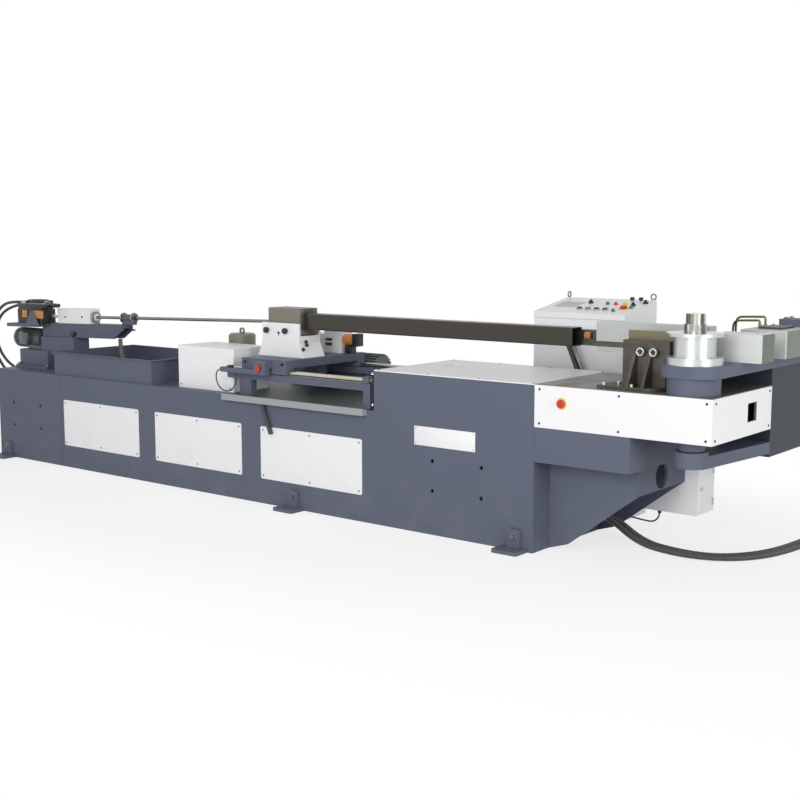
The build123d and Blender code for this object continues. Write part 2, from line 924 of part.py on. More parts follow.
def pressure_unit():
    """Pedestal with cylinder, closing slide and the following pressure die."""
    face = press_face
    table_face = face + table_front
    table_end = table_face + table_depth
    left = spindle_x - arm_half - base_gap - base_length
    front = face + base_front
    stop_y = table_end + press_stroke + base_clear
    back = stop_y + base_wall
    top = table_z + base_top
    base = block(left, left + base_length, front, back, table_z, top)
    pocket = left + (base_length - base_pocket) / 2
    base -= block(pocket, pocket + base_pocket, front - 1, stop_y, table_z + base_foot, top - base_wall)
    ram_x = left + base_length / 2
    ram_z = top + run_gap + ram_r + slide_fit
    case = block(ram_x - ram_block_width / 2, ram_x + ram_block_width / 2, stop_y,
                 stop_y + ram_block_depth, top - ram_block_height, top + ram_block_height)
    key_x0 = ram_x - key_width / 2
    key_x1 = ram_x + key_width / 2
    base -= block(key_x0 - run_gap, key_x1 + run_gap, front - 1, stop_y, top - key_depth - run_gap, top + 1)
    case -= bar_y(ram_r + slide_fit, ram_x, stop_y - 1, table_end + ram_length + press_stroke + run_gap,
                  ram_z)
    save("pressure_base", base + case)
    die_right = clamp_left - press_end_gap
    die_left = die_right - press_length
    low = top + run_gap
    high = low + table_plate
    table = block(die_left - table_tail, die_right, table_face, table_end, low, high)
    table += block(key_x0, key_x1, front, stop_y - press_stroke - run_gap, top - key_depth, low)
    rail_y = face + rail_bar_inset
    rail_top = high + rail_bar_height
    table += block(die_left - rail_bar_tail, die_right, rail_y, rail_y + rail_bar_width, high, rail_top)
    keel_y0 = rail_y + (rail_bar_width - press_keel) / 2
    keel_y1 = keel_y0 + press_keel
    table -= block(die_left - 1, die_right + 1, keel_y0 - run_gap, keel_y1 + run_gap,
                   rail_top - press_keel_depth - run_gap, rail_top + 1)
    table += bar_y(ram_r, ram_x, table_end - base_wall, table_end + ram_length, ram_z)
    assist_x = die_left - assist_tail
    table += block(assist_x, assist_x + assist_length, face + assist_inset,
                   face + assist_inset + assist_depth, rail_top, rail_top + assist_height)
    save("pressure_slide", table)
    seat = rail_top + run_gap
    die = block(die_left, die_right, face, face + press_depth, seat, seat + press_body)
    die += block(die_left, die_right, keel_y0, keel_y1, seat - press_keel_depth, seat)
    die += block(die_left, die_right, face, face + press_cap_depth, seat + press_body,
                 seat + press_body + press_cap)
    save("pressure_die", die)


def rails():
    """Rail beams on legs, the end block of the feed screw and the guide rails."""
    left = head_x - beam_back
    right = left + beam_length
    top = bed_height + beam_top
    floor = bed_height + drip_sheet
    beams = []
    guides = []
    for y in (front_y + beam_inset, rear_y - beam_inset - beam_width):
        beam = block(left, right, y, y + beam_width, top - beam_height, top)
        beam += block(left + leg_inset, left + leg_inset + leg_length, y, y + beam_width, floor,
                      top - beam_height)
        beam += block(right - leg_end_length, right, y, y + beam_width, floor, top - beam_height)
        beams.append(beam)
        middle = y + beam_width / 2
        guide = bar_x(guide_r, left, right, middle, top + guide_lift)
        guide += block(left, right, middle - guide_web / 2, middle + guide_web / 2, top,
                       top + guide_lift)
        guides.append(guide)
    y = front_y + screw_y
    z = bed_height + screw_z
    stand = block(right - end_block_length, right, y - end_block_width / 2, y + end_block_width / 2,
                  floor, z + end_block_over)
    stand -= bar_x(screw_r + turn_fit, right - end_block_length - 1, right + 1, y, z)
    save("rail_beams", *beams, stand)
    save("guide_rails", *guides)


def carriage():
    """Carriage plate with its four trucks, the screw nut and the stop box."""
    left = head_x - carriage_back
    right = left + carriage_length
    guide_z = bed_height + beam_top + guide_lift
    low = guide_z + guide_r + carriage_clear + run_gap
    high = low + carriage_plate_t
    front_rail = front_y + beam_inset + beam_width / 2
    rear_rail = rear_y - beam_inset - beam_width / 2
    plate = block(left, right, front_rail - truck_width / 2, rear_rail + truck_width / 2, low, high)
    for y in (front_rail, rear_rail):
        for x in (left, right - truck_length):
            truck = block(x, x + truck_length, y - truck_width / 2, y + truck_width / 2,
                          guide_z - truck_drop, low)
            truck -= bar_x(guide_r + slide_fit, x - 1, x + truck_length + 1, y, guide_z)
            truck -= block(x - 1, x + truck_length + 1, y - truck_slot / 2, y + truck_slot / 2,
                           guide_z - truck_drop - 1, guide_z)
            plate += truck
    y = front_y + screw_y
    z = bed_height + screw_z
    middle = (left + right) / 2
    plate += block(middle - nut_block_length / 2, middle + nut_block_length / 2,
                   y - nut_block_width / 2, y + nut_block_width / 2,
                   z - screw_r - nut_block_under, low)
    plate -= bar_x(screw_r + slide_fit, middle - nut_block_length, middle + nut_block_length, y, z)
    edge = front_rail - truck_width / 2
    box_x = left + stop_box_x
    box_y = edge - stop_box_front - stop_box_depth
    box_high = low + stop_box_lap
    plate += block(box_x - stop_box_length / 2, box_x + stop_box_length / 2, box_y,
                   box_y + stop_box_depth, box_high - stop_box_height, box_high)
    plate += block(box_x - stop_box_length / 2, box_x + stop_box_length / 2,
                   box_y + stop_box_depth, edge, low, box_high)
    box_low = box_high - stop_box_height
    side = box_x - stop_box_length / 2 - stop_arm_length
    plate += block(side, box_x, box_y, box_y + stop_box_depth, box_low, box_low + stop_arm_height)
    stop_z = box_high - stop_box_height / 2
    plate -= bar_y(stop_stem_r + turn_fit, box_x, box_y - 1,
                   box_y + stop_stem + stop_travel + stop_pocket, stop_z)
    save("carriage_plate", plate)
    stop_button("carriage_estop", Pos(box_x, box_y, stop_z) * Rot(90, 0, 0))
    hang_y = box_y + stop_box_depth / 2
    gland_z = box_low + stop_arm_height / 2
    hang = [(side - run_gap, hang_y, gland_z), (side - 32, hang_y, gland_z - 3),
            (side - 56, hang_y, gland_z - 26), (side - 61, hang_y, gland_z - 62),
            (side - 46, hang_y, gland_z - 102), (side - 10, hang_y, gland_z - 132),
            (side + 38, hang_y, gland_z - 141), (side + 84, hang_y, gland_z - 127),
            (side + 114, hang_y, gland_z - 92), (side + 124, hang_y, gland_z - 50),
            (side + 125, hang_y, box_low - run_gap)]
    save("estop_cable", cord("estop_cable", hang, cable_d))
    return low, high


def skirt_outline(low, high, inset):
    """Side outline of the chuck skirt, flared at both feet and drawn in by the inset."""
    left = head_x - skirt_back + inset
    right = head_x - skirt_back + skirt_length - inset
    over = 1 if inset else 0
    foot = low + skirt_flare_low
    neck = low + skirt_flare_high
    return [(left - skirt_flare, low - over), (right + skirt_flare, low - over),
            (right + skirt_flare, foot), (right, neck), (right, high + over), (left, high + over),
            (left, neck), (left - skirt_flare, foot)]


def chuck(low, high):
    """Chuck block on its foot, skirt, rotary drive, collet and tube."""
    left = head_x - chuck_back
    right = left + chuck_length
    half = chuck_side / 2
    body = block(left, right, tube_y - half, tube_y + half, tube_z - half, tube_z + half)
    body = fillet(body.edges().filter_by(Axis.X), chuck_corner)
    body += block(left + chuck_foot_inset, right - chuck_foot_inset, tube_y - half + chuck_foot_inset,
                  tube_y + half - chuck_foot_inset, high, tube_z - half + chuck_corner)
    body -= bar_x(collet_r + turn_fit, left - 1, right + 1, tube_y, tube_z)
    save("chuck_body", body)
    skirt_x = head_x - skirt_back
    edge = tube_y - skirt_width / 2
    top = high + skirt_height
    skirt = prism_y(skirt_outline(high, top, 0), edge, edge + skirt_width)
    skirt -= prism_y(skirt_outline(high, top, skirt_sheet), edge + skirt_sheet,
                     edge + skirt_width - skirt_sheet)
    skirt -= block(skirt_x + skirt_length - skirt_corner - skirt_sheet, skirt_x + skirt_length + 1,
                   edge + skirt_corner + skirt_sheet, edge + skirt_width - skirt_corner - skirt_sheet,
                   high + skirt_end_height, top + 1)
    skirt -= block(skirt_x - 1, skirt_x + skirt_corner + skirt_sheet,
                   edge + skirt_corner + skirt_sheet, edge + skirt_width - skirt_corner - skirt_sheet,
                   high + skirt_end_height, top + 1)
    save("chuck_housing", skirt)
    y = front_y + drive_box_y
    split = left + drive_box_1_length
    first = block(left, split, y, y + drive_box_depth, high, high + drive_box_1_height)
    second = block(split, split + drive_box_2_length, y, y + drive_box_depth, high,
                   high + drive_box_2_height)
    motor_y = y + drive_box_depth - drive_motor_r
    top_z = high + drive_box_2_height
    second += bar_z(drive_motor_r, split + drive_box_2_length - drive_motor_r - skirt_corner, motor_y,
                    top_z, top_z + drive_motor_length)
    save("chuck_drive", first + second)
    seat = right - collet_seat
    flange = right + collet_gap
    sleeve = bar_x(collet_r, left + chuck_corner, flange, tube_y, tube_z)
    sleeve += bar_x(collet_flange_r, flange, flange + collet_flange, tube_y, tube_z)
    sleeve -= bar_x(collet_tail_r, left, seat + 1, tube_y, tube_z)
    plane = Plane(origin=(seat, tube_y, tube_z), x_dir=(0, 1, 0), z_dir=(1, 0, 0))
    outside = plane * RectangleRounded(tube_size, tube_size, tube_corner)
    inside_size = tube_size - 2 * tube_wall
    inside = plane * RectangleRounded(inside_size, inside_size, tube_corner - tube_wall)
    sleeve -= extrude(outside, amount=collet_seat + collet_flange + collet_gap + 1)
    save("collet", sleeve)
    save("tube", extrude(outside, amount=tube_length) - extrude(inside, amount=tube_length))


def feed_drive():
    """White drive cover, gearbox with upright motor and lifting eye, and the screw."""
    left = head_x - cover_back
    cover = block(left, left + cover_length, front_y + cover_front,
                  front_y + cover_front + cover_depth, bed_height, bed_height + cover_height)
    cover = fillet(cover.edges().filter_by(Axis.Z), cover_corner)
    cover -= block(left + cover_wall, left + cover_length - cover_wall,
                   front_y + cover_front + cover_wall, front_y + cover_front + cover_depth - cover_wall,
                   bed_height - 1, bed_height + cover_height - cover_wall)
    save("drive_cover", cover)
    box_x = head_x - gearbox_back
    box_y = front_y + gearbox_front
    end = box_x + gearbox_length
    top = bed_height + gearbox_height
    case = block(box_x, end, box_y, box_y + gearbox_depth, bed_height, top)
    case = fillet(case.edges().filter_by(Axis.Z), gearbox_corner)
    y = front_y + screw_y
    z = bed_height + screw_z
    case -= bar_x(screw_r + turn_fit, end - screw_seat - run_gap, end + 1, y, z)
    mid_x = box_x + gearbox_length / 2
    mid_y = box_y + gearbox_depth / 2
    motor_top = top + feed_motor_height
    motor = bar_z(feed_motor_r, mid_x, mid_y, top, motor_top)
    motor = chamfer(motor.edges().filter_by(GeomType.CIRCLE).sort_by(Axis.Z)[-1], feed_motor_cap)
    eye_z = motor_top + lift_eye_r
    eye = bar_y(lift_eye_r + lift_eye_wire, mid_x, mid_y - lift_eye_wire, mid_y + lift_eye_wire, eye_z)
    eye -= bar_y(lift_eye_r - lift_eye_wire, mid_x, mid_y - lift_eye_r, mid_y + lift_eye_r, eye_z)
    save("feed_gearbox", case + motor + eye)
    last = head_x - beam_back + beam_length
    save("feed_screw", bar_x(screw_r, end - screw_seat, last, y, z))


def trays():
    """Oil tray with its rim, and the drip tray with gutter and drain spout."""
    left = head_x - oil_back
    right = left + oil_length
    low_y = -oil_width / 2
    high_y = oil_width / 2
    top = bed_height + oil_height
    tray = block(left, right, low_y, high_y, bed_height, top)
    tray += block(left - oil_rim, right + oil_rim, low_y - oil_rim, high_y + oil_rim, top - oil_wall, top)
    tray -= block(left + oil_wall, right - oil_wall, low_y + oil_wall, high_y - oil_wall,
                  bed_height + oil_wall, top + 1)
    save("oil_tray", tray)
    left = head_x - drip_back
    right = left + drip_length
    floor = bed_height + drip_sheet
    low = bed_height - gutter_drop
    sheet = block(left, right, front_y, front_y + drip_depth, bed_height, floor)
    gutter = block(left, right, front_y - gutter_depth, front_y, low, floor)
    gutter += block(left, right, front_y - gutter_depth, front_y - gutter_depth + drip_sheet, floor,
                    floor + gutter_rise)
    gutter -= block(left + drip_sheet, right - drip_sheet, front_y - gutter_depth + drip_sheet,
                    front_y - drip_sheet, low + drip_sheet, floor + 1)
    spout = Cylinder(spout_r, spout_length, align=(Align.CENTER, Align.CENTER, Align.MAX))
    y = front_y - gutter_depth / 2
    spout = Pos(head_x - spout_x, y, low + drip_sheet) * Rot(0, -spout_lean, 0) * spout
    cut = block(left, right, front_y - gutter_depth, front_y, low, low + spout_length)
    save("drip_tray", sheet, gutter, spout - cut)


def mandrel_unit():
    """Tilted beam with tower, crosshead, rod, drawing cylinder, handle and tail motor."""
    frame = Pos(head_x - mandrel_cross, tube_y, tube_z) * Rot(0, -mandrel_tilt, 0)
    u = -mandrel_back
    deck = -head_block_low - run_gap
    under = deck - beam_drop
    outline = [(u - beam_tail, under), (u + beam_tip - beam_drop, under),
               (u + beam_tip, under + beam_tip_rise), (u + beam_tip, deck), (u - beam_tail, deck)]
    beam = prism_y(outline, -beam_half, beam_half)
    beam -= block(u + head_block_front, u + beam_tip + 1, -beam_slot / 2, beam_slot / 2, under - 1,
                  under + beam_slot_depth)
    beam += block(u - shelf_tail, u - cyl_start + shelf_lap, -shelf_front, shelf_rear,
                  deck - shelf_plate, deck)
    bush_end = u + beam_tip + bush_over
    bush_start = bush_end - bush_length
    stand = block(bush_start, bush_end, -bush_foot / 2, bush_foot / 2, deck, 0)
    stand += bar_x(bush_r, bush_start, bush_end, 0, 0)
    stand -= bar_x(rod_r + slide_fit, bush_start - 1, bush_end + 1, 0, 0)
    handle_x = u + beam_tip + handle_gap
    stand -= bar_z(handle_r + turn_fit, handle_x, 0, deck - 1, deck + handle_seat + run_gap)
    beam += stand
    save("mandrel_beam", frame * beam)
    grip = deck - handle_drop
    handle = bar_z(handle_r, handle_x, 0, grip, deck + handle_seat)
    handle += bar_x(handle_bar_r, handle_x - handle_bar / 2, handle_x + handle_bar / 2, 0, grip)
    save("lock_handle", frame * handle)
    cross = block(u - head_block_back, u + head_block_front, -head_block_half, head_block_half,
                  -head_block_low, head_block_high)
    cross += bar_x(head_collar_r, u + head_block_front, u + head_block_front + head_collar, 0, 0)
    rod_start = u + head_block_front + head_collar - rod_seat
    cross -= bar_x(rod_r, rod_start, u + head_block_front + head_collar + 1, 0, 0)
    draw_end = u - head_block_back - draw_rod_length
    cross += bar_x(draw_rod_r, draw_end, u - head_block_back + 1, 0, 0)
    save("crosshead", frame * cross)
    rod = bar_x(rod_r, rod_start, rod_reach, 0, 0)
    rod += bar_x(plug_r, rod_reach - plug_length, rod_reach, 0, 0)
    save("mandrel_rod", frame * rod)
    near = u - cyl_start
    cylinder = block(near - cyl_length, near, -cyl_half, cyl_half, deck, cyl_high)
    cylinder += bar_z(port_r, u - port_a_back, 0, cyl_high, port_high)
    cylinder += bar_z(port_r, u - port_b_back, port_b_side, cyl_high, port_high)
    cylinder -= bar_x(draw_rod_r + slide_fit, draw_end - draw_stroke - run_gap, near + 1, 0, 0)
    valve = block(u - valve_back, u - valve_back + valve_length, -cyl_half - valve_depth, -cyl_half,
                  deck, valve_high)
    save("mandrel_cylinder", frame * (cylinder + valve))
    head = block(u - beam_tail, u - beam_tail + tower_head, -tower_head_half, tower_head_half,
                 under - tower_head_drop, under)
    base_x = head_x - tower_block_back
    base_end = base_x + tower_block_length
    half = tower_block_width / 2
    base_top = bed_height + tower_block_height
    base = block(base_x, base_end, tube_y - half, tube_y + half, bed_height, base_top)
    base += block(base_x, base_end + tower_flange_lip, tube_y - half - tower_flange_lip,
                  tube_y + half + tower_flange_lip, bed_height, bed_height + tower_flange)
    save("tail_tower", base + frame * head)
    motor_x = head_x - tail_motor_back
    motor_end = motor_x + tail_motor_length
    axis_z = base_top + tail_motor_lift
    barrel = finned(tail_motor_r, tail_motor_length - tail_motor_boss, fin_count)
    motor = Pos(motor_x + tail_motor_boss, tube_y, axis_z) * Rot(0, 90, 0) * barrel
    motor += bar_x(tail_motor_boss_r, motor_x, motor_x + tail_motor_boss, tube_y, axis_z)
    motor += block(motor_end - tail_motor_foot, motor_end, tube_y - tail_motor_foot_width / 2,
                   tube_y + tail_motor_foot_width / 2, base_top, axis_z)
    save("tail_motor", motor)
    port_a = frame * Pos(u - port_a_back, 0, port_high)
    port_b = frame * Pos(u - port_b_back, port_b_side, port_high)
    drain = frame * Pos(u + drain_at, 0, under)
    return port_a.position, port_b.position, drain.position


def pump_motor():
    """Motor on a bracket behind the bed."""
    left = head_x - pump_back
    y = rear_y + pump_gap + pump_r
    barrel = finned(pump_r, pump_length - pump_cowl, fin_count)
    motor = Pos(left + pump_cowl, y, pump_z) * Rot(0, 90, 0) * barrel
    motor += bar_x(pump_cowl_r, left, left + pump_cowl, y, pump_z)
    mid = left + (pump_cowl + pump_length) / 2
    half = pump_foot_length / 2
    outline = [(rear_y, pump_foot_low), (rear_y + pump_foot_height, pump_z - pump_r - pump_foot_height),
               (y + pump_r / 2, pump_z - pump_r - pump_foot_height / 3), (y + pump_r / 2, pump_z - pump_r / 2),
               (y, pump_z), (rear_y + pump_gap, pump_z - pump_r), (rear_y, pump_z - pump_r)]
    motor += prism_x(outline, mid - half, mid + half)
    save("pump_motor", motor)


def console_frame():
    """Sloping control face: a place on it, given from its left front corner."""
    rise = degrees(atan2(console_rise, console_depth))
    front = rear_y + foot_reach + console_gap
    return Pos(head_x - console_x, front, console_height) * Rot(rise, 0, 0)


def console():
    """Sheet console on a plinth with its duct, push buttons and stop button."""
    left = head_x - console_x
    right = left + console_width
    front = rear_y + foot_reach + console_gap
    back = front + console_depth
    high = console_height + console_rise
    seam = console_height - console_seam
    sheet = console_sheet
    rise = atan2(console_rise, console_depth)
    drop = sheet / cos(rise)
    outer = [(front + console_lip, console_plinth), (back, console_plinth), (back, high),
             (front, console_height), (front, seam), (front + console_lip, seam)]
    inner_front = front + console_lip + sheet
    inner_top = console_height - drop + tan(rise) * (console_lip + sheet)
    inner = [(inner_front, console_plinth + sheet), (back - sheet, console_plinth + sheet),
             (back - sheet, high - drop - tan(rise) * sheet), (inner_front, inner_top)]
    case = prism_x(outer, left, right) - prism_x(inner, left + sheet, right - sheet)
    inset = console_plinth_inset
    case += block(left + inset, right - inset, front + console_lip + inset, back - inset, 0, console_plinth)
    face = console_frame()
    for number in range(button_count):
        place = face * Pos(button_first + number * button_pitch, button_row, 0)
        case -= place * Cylinder(button_stem_r + turn_fit, 4 * console_sheet)
        stem_low = -button_stem
        cap_low = button_travel + run_gap
        button = bar_z(button_stem_r, 0, 0, stem_low, cap_low)
        button += bar_z(button_r, 0, 0, cap_low, cap_low + button_cap)
        save("push_button_" + str(number + 1), place * button)
    place = face * Pos(console_stop_x, console_stop_row, 0)
    case -= place * Cylinder(stop_stem_r + turn_fit, 4 * console_sheet)
    stop_button("console_estop", place)
    eye_y = back - console_eye_y
    eye_z = high - tan(rise) * console_eye_y
    for x, turn in ((left + console_eye_x, 90), (left + console_eye_right, 0)):
        collar = bar_z(console_eye_collar_r, x, eye_y, eye_z - drop / 2, eye_z + console_eye_collar)
        hoop = Torus(console_eye_r, console_eye_wire)
        hoop_z = eye_z + console_eye_collar + console_eye_r
        case += collar + Pos(x, eye_y, hoop_z) * Rot(0, 0, turn) * Rot(90, 0, 0) * hoop
    duct_left = head_x - duct_x
    duct = block(duct_left, duct_left + duct_width, rear_y, front + console_lip, duct_z,
                 duct_z + duct_height)
    save("console_cabinet", case, duct)


def stop_button(name, place):
    """Mushroom stop button on its stem, standing on the place given."""
    low = stop_travel + run_gap
    stem = bar_z(stop_stem_r, 0, 0, -stop_stem, low)
    cap = bar_z(stop_r, 0, 0, low, low + stop_cap)
    cap = chamfer(cap.edges().filter_by(GeomType.CIRCLE).sort_by(Axis.Z)[-1], stop_edge)
    save(name, place * (stem + cap))


def junction_box():
    """White box with a door on the rear web of the nose support."""
    left = head_x + junction_x
    right = left + junction_length
    back = nose_rear + junction_depth
    high = support_z - junction_gap
    box = block(left, right, nose_rear, back, junction_z, high)
    box = fillet(box.edges().filter_by(Axis.Y), junction_corner)
    edge = junction_door_inset
    box += block(right, right + junction_door, nose_rear + edge, back - edge, junction_z + edge,
                 high - edge)
    save("junction_box", box)


def cords(port_a, port_b, drain):
    """Floor conduits with couplings, box cable, tail hoses and drain hose."""
    route = [(run_gap, 620, 110), (90, 620, 110), (195, 590, 78), (300, 545, 38), (420, 492, 18),
             (550, 450, 18), (690, 435, 18), (820, 470, 18), (920, 560, 18), (990, 690, 18),
             (1030, 840, 18), (1050, 1000, 18), (1060, 1120, 18)]
    conduits = []
    couplings = []
    for side in (-0.5, 0.5):
        points = []
        for number, (x, y, z) in enumerate(route):
            before = route[max(number - 1, 0)]
            after = route[min(number + 1, len(route) - 1)]
            along_x = after[0] - before[0]
            along_y = after[1] - before[1]
            span = hypot(along_x, along_y)
            shift = side * conduit_pitch / span
            start = number < 2
            off_x = 0 if start else -along_y * shift
            off_y = side * conduit_pitch if start else along_x * shift
            points.append((head_x + x + off_x, front_y + y + off_y, z))
        conduits.append(ribbed("floor_conduit", points))
        end = Vector(*points[-1])
        way = (end - Vector(*points[-2])).normalized()
        lift = Vector(0, 0, coupling_r - route[-1][2])
        case = Cylinder(coupling_r, coupling_length, align=(Align.CENTER, Align.CENTER, Align.MIN))
        couplings.append(Plane(origin=end + lift, z_dir=way) * case)
    loop = [(run_gap, 720, 104), (100, 720, 103), (200, 720, 97), (270, 720, 90), (322, 720, 88),
            (350, 720, 104), (366, 720, junction_z - 27), (366, 720, junction_z - run_gap)]
    points = [(head_x + x, front_y + y, z) for x, y, z in loop]
    save("floor_conduits", *conduits, cord("box_cable", points, loop_d))
    save("conduit_connectors", *couplings)
    a = port_a + Vector(-port_r - run_gap, 0, -port_r)
    b = port_b + Vector(-port_r - run_gap, 0, -port_r)
    hose_a = [a, a + Vector(-170, 0, 0), a + Vector(-320, 0, -28), a + Vector(-430, 0, -120),
              a + Vector(-475, 0, -250), a + Vector(-455, 0, -390), a + Vector(-370, 0, -510),
              a + Vector(-240, 0, -590), a + Vector(-110, 0, -622)]
    hose_a.append(Vector(tail_x - run_gap, a.Y, hose_a[-1].Z))
    hose_b = [b, b + Vector(-170, 0, 0), b + Vector(-360, 0, -26), b + Vector(-540, 0, -62),
              b + Vector(-670, 0, -132), b + Vector(-730, 0, -250), b + Vector(-705, 0, -380),
              b + Vector(-610, 0, -480), b + Vector(-470, 0, -540), b + Vector(-340, 0, -560)]
    hose_b.append(Vector(tail_x - run_gap, b.Y, hose_b[-1].Z))
    first = cord("tail_hose_a", [tuple(p) for p in hose_a], hose_d)
    second = cord("tail_hose_b", [tuple(p) for p in hose_b], hose_d)
    tray_z = bed_height + oil_wall + drain_d / 2 + run_gap
    fall = drain.Z - tray_z
    hose_c = [drain - Vector(0, 0, run_gap), drain - Vector(0, 0, 0.3 * fall),
              drain + Vector(20, 0, -0.62 * fall), drain + Vector(80, 0, -0.88 * fall),
              drain + Vector(165, 0, -fall), drain + Vector(290, 0, -fall)]
    third = cord("drain_hose", [tuple(p) for p in hose_c], drain_d)
    save("tail_hoses", first, second, third)


bed_frame()
anchor_feet()
access_panels()
head_frame()
nose_support()
head_covers()
spindle_group()
bending_arm()
clamp_unit()
wiper_unit()
pressure_unit()
rails()
plate_low, plate_high = carriage()
chuck(plate_low, plate_high)
feed_drive()
trays()
port_a_place, port_b_place, drain_place = mandrel_unit()
pump_motor()
console()
stop_button("nose_estop", Pos(head_x + nose_stop_x, front_y, nose_z + nose_stop_z) * Rot(90, 0, 0))
junction_box()
cords(port_a_place, port_b_place, drain_place)
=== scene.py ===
"""Looks of a rotary draw tube bender: finishes, fittings, cords and a pale studio."""
import math

import bmesh
import bpy
from mathutils import Matrix, Vector


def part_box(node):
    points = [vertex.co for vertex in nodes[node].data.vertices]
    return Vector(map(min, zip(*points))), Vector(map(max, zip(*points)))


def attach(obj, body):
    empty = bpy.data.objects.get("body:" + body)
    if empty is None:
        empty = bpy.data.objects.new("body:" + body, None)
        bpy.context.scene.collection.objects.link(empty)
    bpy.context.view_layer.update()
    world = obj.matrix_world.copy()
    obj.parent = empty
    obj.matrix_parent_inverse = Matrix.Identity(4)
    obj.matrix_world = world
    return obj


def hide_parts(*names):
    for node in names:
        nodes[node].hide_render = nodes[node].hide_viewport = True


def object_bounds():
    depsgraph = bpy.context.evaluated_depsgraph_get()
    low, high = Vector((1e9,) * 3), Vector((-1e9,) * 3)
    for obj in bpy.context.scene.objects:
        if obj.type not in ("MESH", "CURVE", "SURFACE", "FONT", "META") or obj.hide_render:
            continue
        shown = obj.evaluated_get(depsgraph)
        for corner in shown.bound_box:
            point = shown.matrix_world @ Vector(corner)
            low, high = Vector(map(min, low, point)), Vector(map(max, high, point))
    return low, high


bl_info = {
    "name": "Tube bender looks",
    "version": (1, 0, 0),
    "blender": (4, 5, 0),
    "location": "View3D > Sidebar > Bender",
    "description": "Dresses the packed tube bender with finishes, fasteners, fittings and cords",
    "category": "Object",
}

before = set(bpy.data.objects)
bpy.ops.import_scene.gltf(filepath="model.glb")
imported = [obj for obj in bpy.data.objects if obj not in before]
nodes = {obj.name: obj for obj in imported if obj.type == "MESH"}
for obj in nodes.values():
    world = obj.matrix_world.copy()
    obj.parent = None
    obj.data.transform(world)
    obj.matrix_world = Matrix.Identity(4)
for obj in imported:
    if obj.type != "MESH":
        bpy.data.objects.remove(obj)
cad_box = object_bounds()

# Places read from the frame
BED_LOW, BED_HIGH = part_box("bed_frame")
HEAD_X, REAR_Y, BED_Z = BED_HIGH
TAIL_X, FRONT_Y = BED_LOW.xy
TUBE_LOW, TUBE_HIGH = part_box("tube")
TUBE = (TUBE_LOW + TUBE_HIGH) / 2
ABOVE_ALL = cad_box[1].z + 0.1
BEHIND_ALL = cad_box[1].y + 0.1
X = Vector((1, 0, 0))
Y = Vector((0, 1, 0))
Z = Vector((0, 0, 1))

# The mandrel's line, which rises towards the head, and the crosshead's place along it
MANDREL_START = Vector((HEAD_X - 1.600, TUBE.y, TUBE.z))
MANDREL_RISE = math.radians(1.5)
CROSSHEAD = -2.445

# Where the thin cable enters the white box, from the bed's front right corner
BOX_CABLE_X = 0.366
BOX_CABLE_Y = 0.720


def spot(x, y, z):
    """Place given from the bed's front right corner on the floor."""
    return Vector((HEAD_X + x, FRONT_Y + y, z))


def on_mandrel(along, across=0.0, up=0.0):
    """Place given from the crosshead, along and square to the mandrel's line."""
    along += CROSSHEAD
    level, rise = math.cos(MANDREL_RISE), math.sin(MANDREL_RISE)
    return MANDREL_START + Vector((along * level - up * rise, across, along * rise + up * level))


def facing(place, way):
    """Matrix at a place whose own Z points the way given."""
    return Matrix.Translation(place) @ Vector(way).to_track_quat("Z", "Y").to_matrix().to_4x4()


def inside(low, high, inset):
    """Two values, each an inset inside its end of a range."""
    return low + inset, high - inset


def grid(xs, ys, zs):
    """Every place that has one of these values along each axis."""
    return [Vector((x, y, z)) for x in xs for y in ys for z in zs]


# Finishes

class Level:
    """A number that varies over a surface, so that a finish reads as plain sums."""

    def __init__(self, finish, socket):
        self.finish = finish
        self.socket = socket

    def sum(self, operation, first, second):
        made = self.finish.node("ShaderNodeMath", {"operation": operation}, {0: first, 1: second})
        return Level(self.finish, made.outputs[0])

    def __add__(self, other):
        return self.sum("ADD", self, other)

    def __radd__(self, other):
        return self.sum("ADD", other, self)

    def __sub__(self, other):
        return self.sum("SUBTRACT", self, other)

    def __rsub__(self, other):
        return self.sum("SUBTRACT", other, self)

    def __mul__(self, other):
        return self.sum("MULTIPLY", self, other)

    def __rmul__(self, other):
        return self.sum("MULTIPLY", other, self)

    def above(self, low, high):
        """0 below the low level, 1 above the high one."""
        made = self.finish.node("ShaderNodeMapRange", {"interpolation_type": "SMOOTHSTEP"},
                                {"Value": self, "From Min": low, "From Max": high})
        return Level(self.finish, made.outputs["Result"])


class Nodes:
    """A node tree under construction."""

    def __init__(self, tree):
        self.tree = tree

    def put(self, socket, value):
        """Feed a socket with a number, a level or a link."""
        source = value.socket if isinstance(value, Level) else value
        if isinstance(source, bpy.types.NodeSocket):
            self.tree.links.new(source, socket)
        else:
            socket.default_value = source

    def node(self, kind, settings, inputs):
        """Add a node, set it up and then feed its sockets."""
        made = self.tree.nodes.new(kind)
        for name, value in settings.items():
            setattr(made, name, value)
        for name, value in inputs.items():
            self.put(made.inputs[name], value)
        return made

    def background(self):
        """1 for the rays that see the surroundings as a picture, else 0."""
        path = self.node("ShaderNodeLightPath", {}, {}).outputs
        seen = Level(self, path["Is Camera Ray"]) + Level(self, path["Is Glossy Ray"])
        return (seen + Level(self, path["Is Transmission Ray"])).above(0.0, 1.0)


